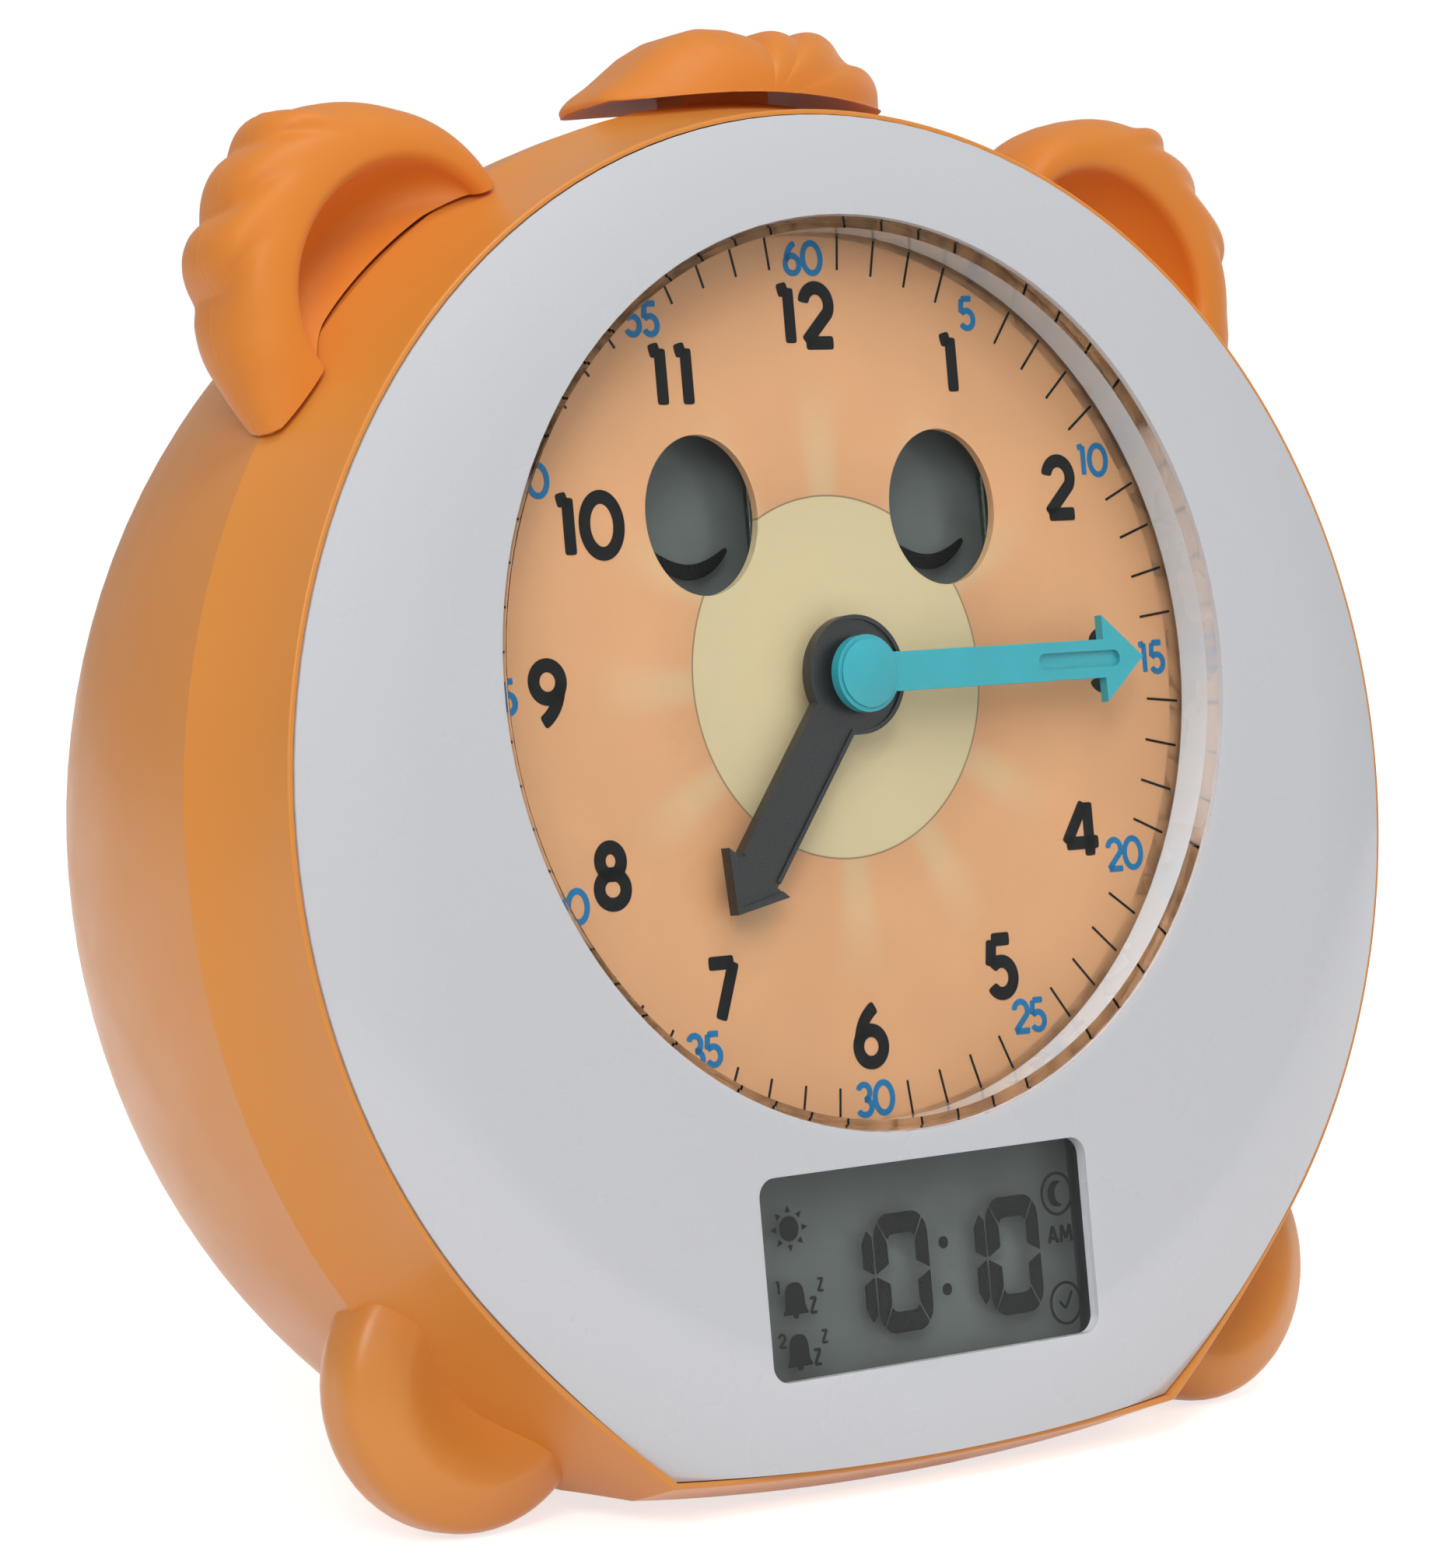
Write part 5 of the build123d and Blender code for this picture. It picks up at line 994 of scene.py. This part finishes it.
class CLOCK_OT_dial(bpy.types.Operator):
    """Print the dial: its ground, hour numbers, minute numbers and minute lines."""

    bl_idname = "clock.dial"
    bl_label = "Dial print"

    def execute(self, context):
        colours, sizes = context.scene.clock_colours, context.scene.clock_print
        dress(dial_paper("dial_print_ground", colours), "dial_plate")
        levels = PRINT_LOW, sizes.ink / MM
        black = []
        for hour, (x, y) in enumerate(HOUR_PLACES):
            black += written(str(hour or 12), x, y, sizes.hour_height / MM, *levels)
        ends = np.array(((sizes.tick_start,), (sizes.tick_end,))) / MM
        for minute in range(60):
            if minute % 5:
                heading = math.radians(6 * minute)
                ray = ends * (math.sin(heading), math.cos(heading))
                black.append(ribbon(ray, sizes.tick_width / MM / 2, *levels))
        ink = fine_ink("black_ink", colours.numbers, 0.15)
        add_piece("dial_numbers", black, "dial_print", ink)
        blue = []
        high = sizes.minute_height / MM
        for fifth, (x, y) in enumerate(MINUTE_PLACES):
            text = str(5 * fifth or 60)
            blue += written(text, x, y, high, *levels, stroke=0.085, snug=0.94)
        ink = fine_ink("blue_ink", colours.minutes, 0.2)
        add_piece("dial_minutes", blue, "dial_print", ink)
        return {"FINISHED"}


EYE_PLACE = (20.2, 22.0)
EYE_SIZE = (24, 26)
EYE_GROUND, EYE_GLASS, EYE_ARC = (-7.4, -6.6), (-5.9, -5.3), (-5.28, -5.16)  # levels
ARC_REACH, ARC_HALF = 6.2, 1.05
ARC_LIFT = 2.9  # how far the arc's ends stand above its middle


class CLOCK_OT_eyes(bpy.types.Operator):
    """Build the two oval displays: grey ground, dark arcs and the glass before them."""

    bl_idname = "clock.eyes"
    bl_label = "Oval displays"

    def execute(self, context):
        colours = context.scene.clock_colours
        ground = grey_reflector("oval_display_ground", colours.reflector)
        dark = fine_ink("liquid_crystal_dark", colours.segments, 0.1, 0.35, 0.04)
        glass = clear_pane("oval_display_glass", 1.2)
        for side, name in ((-1, "left"), (1, "right")):
            node = f"eye_display_{name}"
            x, y = side * EYE_PLACE[0], EYE_PLACE[1]
            tray = [sheet(x, y, *EYE_SIZE, *EYE_GROUND)]
            add_piece(f"{node}_ground", tray, "lcd_glass", ground, node)
            cover = [sheet(x, y, *EYE_SIZE, *EYE_GLASS)]
            add_piece(f"{node}_glass", cover, "lcd_glass", glass)
            share = np.linspace(-1, 1, 40)
            lid = np.stack((x + 1.2 + ARC_REACH * share, y - 7.0 + ARC_LIFT * share**2), axis=1)
            bar = [ribbon(lid, ARC_HALF, *EYE_ARC, taper=0.7)]
            add_piece(f"{node}_arc", bar, "lcd_glass", dark)
        return {"FINISHED"}


def zero_outlines(x, y, wide, high):
    """The six dark parts of a nought: top and bottom bars and four side bars with slanted ends."""
    bar, beam, middle = 2.15, 2.75, high / 2
    top = [
        (2.3, high),
        (wide - 2.3, high),
        (wide - 1.4, high - 0.35),
        (wide - 0.85, high - 0.9),
        (wide - bar - 0.1, high - beam - 0.6),
        (wide - bar - 0.45, high - beam - 0.15),
        (wide - bar - 1.1, high - beam),
        (bar + 1.1, high - beam),
        (bar + 0.45, high - beam - 0.15),
        (bar + 0.1, high - beam - 0.6),
        (0.85, high - 0.9),
        (1.4, high - 0.35),
    ]
    side = [
        (wide - 0.68, high - 1.1),
        (wide - 0.2, high - 1.9),
        (wide, high - 3.0),
        (wide, middle + 0.32),
        (wide - 0.12, middle + 0.22),
        (wide - bar, middle + 1.3),
        (wide - bar, high - beam - 1.5),
        (wide - bar + 0.1, high - beam - 0.9),
    ]
    top, side = np.array(top), np.array(side)
    across = np.array((-1, 1)), np.array((wide, 0))
    over = np.array((1, -1)), np.array((0, high))
    parts = [top, top * over[0] + over[1], side, side * across[0] + across[1]]
    parts += [side * over[0] + over[1], (side * across[0] + across[1]) * over[0] + over[1]]
    return [part + (x, y) for part in parts]


def one_outlines(x, y, wide, high):
    """The two dark parts of a slim one, pointed at their outer ends."""
    middle = high / 2
    upper = np.array(
        [
            (0.55 * wide, high - 1.9),
            (wide, high - 2.7),
            (wide, middle + 0.3),
            (0.93 * wide, middle + 0.2),
            (0, middle + 1.1),
            (0, high - 3.6),
        ]
    )
    lower = upper * (1, -1) + (0, high)
    return [upper + (x, y), lower + (x, y)]


def bell_outline(x, y, size):
    """A bell, half of it in sizes of its own and mirrored: a dome, its rim and a small clapper."""
    dome = ((0.0, 0.5), (0.13, 0.48), (0.23, 0.42), (0.3, 0.31), (0.335, 0.15), (0.345, -0.1))
    rim = ((0.37, -0.24), (0.44, -0.34), (0.44, -0.41), (0.1, -0.41), (0.08, -0.5), (0.0, -0.53))
    side = np.array(dome + rim)
    left = (side * (-1, 1))[::-1][1:-1]
    return np.concatenate((side, left)) * size + (x, y)


def rounded(x, y, wide, tall, corner):
    """A rectangle about (x, y) with quarter circles for corners, n x 2."""
    turn = np.radians(np.linspace(0, 90, 8))
    quarters = []
    for k, (side, end) in enumerate(((1, 1), (-1, 1), (-1, -1), (1, -1))):
        middle = (x + side * (wide / 2 - corner), y + end * (tall / 2 - corner))
        bow = turn + k * math.pi / 2
        quarters.append(np.stack((np.cos(bow), np.sin(bow)), axis=1) * corner + middle)
    return np.concatenate(quarters)


DISPLAY_CENTRE = (0, -77.3)
DIGIT_FOOT = -86.3
DIGIT_LEFTS = (-6.0, 13.1)
SIGN_LEVELS = (4.5, 4.58)
THIN = 0.2  # half width of the small signs' lines
LEFT_SIGNS, RIGHT_SIGNS = -19.7, 25.8  # where the columns of small signs stand
SIGN_TOP = -70.7
CELL_GROUND, CELL_GLASS, PANE, SURROUND = (2.2, 2.6), (4.1, 4.48), (7.4, 8.8), (2.65, 7.35)


def cell(low, high):
    """A layer of the digital display's cell."""
    return sheet(*DISPLAY_CENTRE, 60, 28, low, high)


class CLOCK_OT_display(bpy.types.Operator):
    """Build the digital display: grey ground, dark digits and signs, and the glass before them."""

    bl_idname = "clock.display"
    bl_label = "Digital display"

    def execute(self, context):
        colours, sizes = context.scene.clock_colours, context.scene.clock_print
        ground = grey_reflector("time_display_ground", colours.reflector)
        add_piece("time_display_ground", [cell(*CELL_GROUND)], "lcd_glass", ground, "time_display")
        levels = SIGN_LEVELS
        wide, high = sizes.digit_width / MM, sizes.digit_height / MM
        outlines = []
        for left in DIGIT_LEFTS:
            outlines += zero_outlines(left, DIGIT_FOOT, wide, high)
            outlines += one_outlines(left - 2.1, DIGIT_FOOT, 1.75, high)
        outlines += [loop(5.6, y, 0.78, 0.82, 20) for y in (-75.4, -81.6)]
        sun = np.array((LEFT_SIGNS, SIGN_TOP))
        outlines.append(loop(*sun, 1.55, 1.65, 28))
        ray = np.array(((0.0, 3.0), (-0.42, 2.1), (0.42, 2.1)))
        for turn in np.radians(45 * np.arange(8)):
            spin = ((math.cos(turn), -math.sin(turn)), (math.sin(turn), math.cos(turn)))
            outlines.append(sun + ray @ np.transpose(spin))
        outlines += [bell_outline(LEFT_SIGNS, y, 4.6) for y in (-79.9, -86.6)]
        moon_out = arc(RIGHT_SIGNS, -71.2, 1.55, 1.75, 60, 300, 24)
        moon_in = arc(RIGHT_SIGNS + 0.95, -71.2, 1.35, 1.5, 262, 98, 20)
        outlines.append(np.concatenate((moon_out, moon_in)))
        signs = [slab(outline, *levels) for outline in outlines]
        for y in (-71.2, -85.9):
            signs.append(ribbon(loop(RIGHT_SIGNS, y, 2.6, 2.75), THIN, *levels, closed=True))
        clock_hands = line((24.7, -85.6), (25.7, -86.6), (27.0, -84.4))
        signs += [ribbon(run, THIN, *levels) for run in clock_hands]
        signs += written("AM", RIGHT_SIGNS, -76.6, 2.8, *levels, stroke=0.085)
        for text, y in (("1", -78.1), ("2", -84.9)):
            signs += written(text, -22.3, y, 2.0, *levels, stroke=0.09)
        for y in (-78.9, -85.6):
            signs += written("Z", -15.4, y + 0.5, 1.9, *levels, stroke=0.095)
            signs += written("Z", -16.8, y - 2.0, 2.3, *levels, stroke=0.095)
        dark = fine_ink("display_signs_dark", colours.segments, 0.1, 0.35, 0.04)
        add_piece("time_display_signs", signs, "lcd_glass", dark)
        glass = clear_pane("time_display_glass", 1.12)
        add_piece("time_display_glass", [cell(*CELL_GLASS)], "lcd_glass", glass)
        pane = [slab(rounded(*DISPLAY_CENTRE, 59.9, 27.9, 2.0), *PANE)]
        clear = clear_pane("clear_pane", 1.33)
        add_piece("time_display_pane", pane, "clear_pane", clear, "display_lens")
        # A thin dark lining round the window's walls, from the cell's ground up to the pane: it
        # keeps them dark where the white bezel would otherwise show through the pane.
        rim = ribbon(rounded(*DISPLAY_CENTRE, 59.5, 27.5, 1.9), 0.16, *SURROUND, closed=True)
        black = moulded("display_surround", (0.012, 0.012, 0.013), 0.5, 0.1)
        add_piece("time_display_surround", [rim], "black_plastic", black)
        return {"FINISHED"}


class CLOCK_OT_hands(bpy.types.Operator):
    """Finish the hands."""

    bl_idname = "clock.hands"
    bl_label = "Hands"

    def execute(self, context):
        colours = context.scene.clock_colours
        dress(painted_metal("teal_paint", colours.minute_hand), "minute_hand", "minute_cap")
        dress(painted_metal("dark_paint", colours.hour_hand, 0.4), "hour_hand")
        return {"FINISHED"}


class CLOCK_OT_inside(bpy.types.Operator):
    """Finish the movement, the boards, the lamps of the night light and the battery bay."""

    bl_idname = "clock.inside"
    bl_label = "Inside"

    def execute(self, context):
        green, acetal = (0.02, 0.13, 0.06), (0.76, 0.73, 0.62)
        boards = ("main_board", "display_board", "light_board", "button_board")
        dress(circuit_board("green_board", green), *boards)
        dress(
            brushed_metal("zinc_steel", (0.6, 0.61, 0.63)),
            "board_screws",
            "bezel_screws",
            "housing_screws",
            "button_board_screws",
            "battery_door_screw",
            "battery_contacts",
            "snooze_springs",
            "motor_stator",
            "light_switch_body",
        )
        dress(brushed_metal("turned_brass", (0.72, 0.5, 0.2), 0.25), "hub_nut", "minute_arbor")
        dress(
            moulded("black_nylon", (0.022, 0.022, 0.025), 0.45, 0.1, 700.0, 0.00003),
            "movement_case_front",
            "movement_plate",
            "movement_case_rear",
            "snooze_switch",
            "button_switches",
            "speaker_clamp",
        )
        cone = banded("speaker_cone", (0.03, 0.03, 0.032), (0.05, 0.05, 0.052), 90.0, rough=0.6)
        dress(cone, "speaker")
        acetal_finish = moulded("natural_acetal", acetal, 0.3, 0.03, 800.0, 0.00001)
        dress(acetal_finish, "hour_wheel", "minute_wheel", "step_wheel", "setting_shaft")
        dress(moulded("sintered_magnet", (0.035, 0.035, 0.04), 0.5, 0.15, 900.0, 0.00005), "rotor")
        copper = banded("copper_winding", (0.6, 0.24, 0.09), (0.3, 0.1, 0.04), 700.0, 1.0, 0.35)
        dress(copper, "motor_coil")
        strip = banded("layered_strip", (0.6, 0.24, 0.28), (0.14, 0.12, 0.13), 900.0, rough=0.6)
        dress(strip, "eye_display_connectors", "time_display_connectors")
        dress(moulded("lamp_phosphor", (0.88, 0.74, 0.3), 0.3, 0.05), "night_light_leds")
        dress(cell_sleeve("cell_sleeve"), "battery_cells")
        tread = moulded("black_rubber", (0.02, 0.02, 0.02), 0.75, 0.15, 600.0, 0.00006)
        dress(tread, "rubber_pads")
        return {"FINISHED"}


class CLOCK_OT_back(bpy.types.Operator):
    """Finish the rear buttons, the setting knob and the light switch."""

    bl_idname = "clock.back"
    bl_label = "Rear controls"

    def execute(self, context):
        colours = context.scene.clock_colours
        grey = moulded("grey_rubber", colours.buttons, 0.5, 0.03, 900.0, 0.00004)
        dress(
            grey,
            "time_set_button",
            "alarm_one_button",
            "alarm_two_button",
            "up_button",
            "down_button",
            "setting_knob",
            "light_switch_knob",
        )
        return {"FINISHED"}


def area_lamp(name, at, size, power):
    """A square soft lamp at a place, facing the clock's middle."""
    data = bpy.data.lights.new(name, "AREA")
    data.shape, data.size, data.energy = "SQUARE", size, power
    lamp = bpy.data.objects.new(name, data)
    lamp.location = at
    lamp.rotation_euler = (MIDDLE - Vector(at)).to_track_quat("-Z", "Y").to_euler()
    bpy.context.scene.collection.objects.link(lamp)


MIDDLE = Vector((0.0, -0.02, 0.1))
CAMERA_SEAT = (-415.7, -520.3, 54.0)  # from the dial's centre, in millimetres
CAMERA_FORWARD, CAMERA_SIDE = (0.6022, 0.7919, -0.1019), (0.7960, -0.6053, 0.0)


class CLOCK_OT_stage(bpy.types.Operator):
    """Set up the floor, the lamps, the pale background and the camera."""

    bl_idname = "clock.stage"
    bl_label = "Stage"

    def execute(self, context):
        scene, stage = context.scene, context.scene.clock_stage
        floor = bpy.data.meshes.new("floor")
        angle = np.linspace(0, 2 * math.pi, 96, endpoint=False)
        ring = np.stack((4 * np.cos(angle), 4 * np.sin(angle), 0 * angle), axis=1)
        floor.from_pydata(ring.tolist(), [], [list(range(96))])
        surface = bpy.data.objects.new("floor", floor)
        scene.collection.objects.link(surface)
        n = Nodes("pale_floor")
        path = n.add("ShaderNodeLightPath").outputs
        soft = n.add("ShaderNodeBsdfDiffuse", {"Color": (0.82, 0.82, 0.82, 1.0)}).outputs[0]
        glow = n.add("ShaderNodeEmission", {"Color": (1, 1, 1, 1), "Strength": 0.7}).outputs[0]
        lit = n.add("ShaderNodeAddShader", {0: soft, 1: glow}).outputs[0]
        seen = n.maths("MAXIMUM", path["Is Camera Ray"], path["Is Glossy Ray"])
        seen = n.maths("MAXIMUM", seen, path["Is Transmission Ray"])
        mix = n.add("ShaderNodeMixShader", {0: seen, 1: soft, 2: lit}).outputs[0]
        floor.materials.append(n.finish(mix))
        surface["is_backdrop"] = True

        scene.world = bpy.data.worlds.new("pale_room")
        n = Nodes(scene.world, "ShaderNodeOutputWorld")
        path = n.add("ShaderNodeLightPath").outputs
        white = {"Color": (1, 1, 1, 1)}
        calm = n.add("ShaderNodeBackground", {**white, "Strength": stage.ambient}).outputs[0]
        bright = n.add("ShaderNodeBackground", {**white, "Strength": 1.0}).outputs[0]
        seen = n.maths("MAXIMUM", path["Is Camera Ray"], path["Is Transmission Ray"])
        n.finish(n.add("ShaderNodeMixShader", {0: seen, 1: calm, 2: bright}).outputs[0])

        area_lamp("key_lamp", (-0.75, -0.75, 0.75), 0.5, stage.key)
        area_lamp("fill_lamp", (1.1, 0.25, 0.45), 0.6, stage.fill)
        area_lamp("top_lamp", (-0.02, -0.42, 1.0), 0.42, stage.top)

        camera_data = bpy.data.cameras.new("camera")
        camera_data.lens, camera_data.sensor_width = stage.lens, 36.0
        camera_data.sensor_fit = "HORIZONTAL"
        camera_data.clip_start, camera_data.clip_end = 0.01, 50.0
        camera = bpy.data.objects.new("camera", camera_data)
        scene.collection.objects.link(camera)
        forward, side = Vector(CAMERA_FORWARD).normalized(), Vector(CAMERA_SIDE).normalized()
        turned = Matrix((side, side.cross(forward), -forward)).transposed().to_4x4()
        seat = Vector(CENTRE) + MM * Vector(CAMERA_SEAT)
        camera.matrix_world = Matrix.Translation(seat) @ turned
        scene.camera = camera
        scene.view_settings.view_transform = "Standard"
        return {"FINISHED"}


class CLOCK_PT_panel(bpy.types.Panel):
    """The clock's steps in the 3D view's sidebar."""

    bl_label = "Clock"
    bl_idname = "CLOCK_PT_panel"
    bl_space_type = "VIEW_3D"
    bl_region_type = "UI"
    bl_category = "Clock"

    def draw(self, context):
        column = self.layout.column()
        for step in STEPS:
            column.operator(step.bl_idname)


STEPS = (
    CLOCK_OT_stage,
    CLOCK_OT_housing,
    CLOCK_OT_ears,
    CLOCK_OT_tuft,
    CLOCK_OT_dial,
    CLOCK_OT_eyes,
    CLOCK_OT_display,
    CLOCK_OT_hands,
    CLOCK_OT_inside,
    CLOCK_OT_back,
)
SETTINGS = {
    "clock_colours": ClockColours,
    "clock_soft": ClockSoftParts,
    "clock_print": ClockPrint,
    "clock_stage": ClockStage,
}


def register():
    for group in (*SETTINGS.values(), *STEPS, CLOCK_PT_panel):
        bpy.utils.register_class(group)
    for name, group in SETTINGS.items():
        setattr(bpy.types.Scene, name, bpy.props.PointerProperty(type=group))


def unregister():
    for name in SETTINGS:
        delattr(bpy.types.Scene, name)
    for group in (CLOCK_PT_panel, *reversed(STEPS), *SETTINGS.values()):
        bpy.utils.unregister_class(group)


def corners():
    """The shown object's box as plain numbers."""
    return [[float(c) for c in corner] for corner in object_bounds()]


def main():
    register()
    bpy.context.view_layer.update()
    for step in STEPS:
        area, action = step.bl_idname.split(".")
        getattr(getattr(bpy.ops, area), action)()


if __name__ == "__main__":
    main()
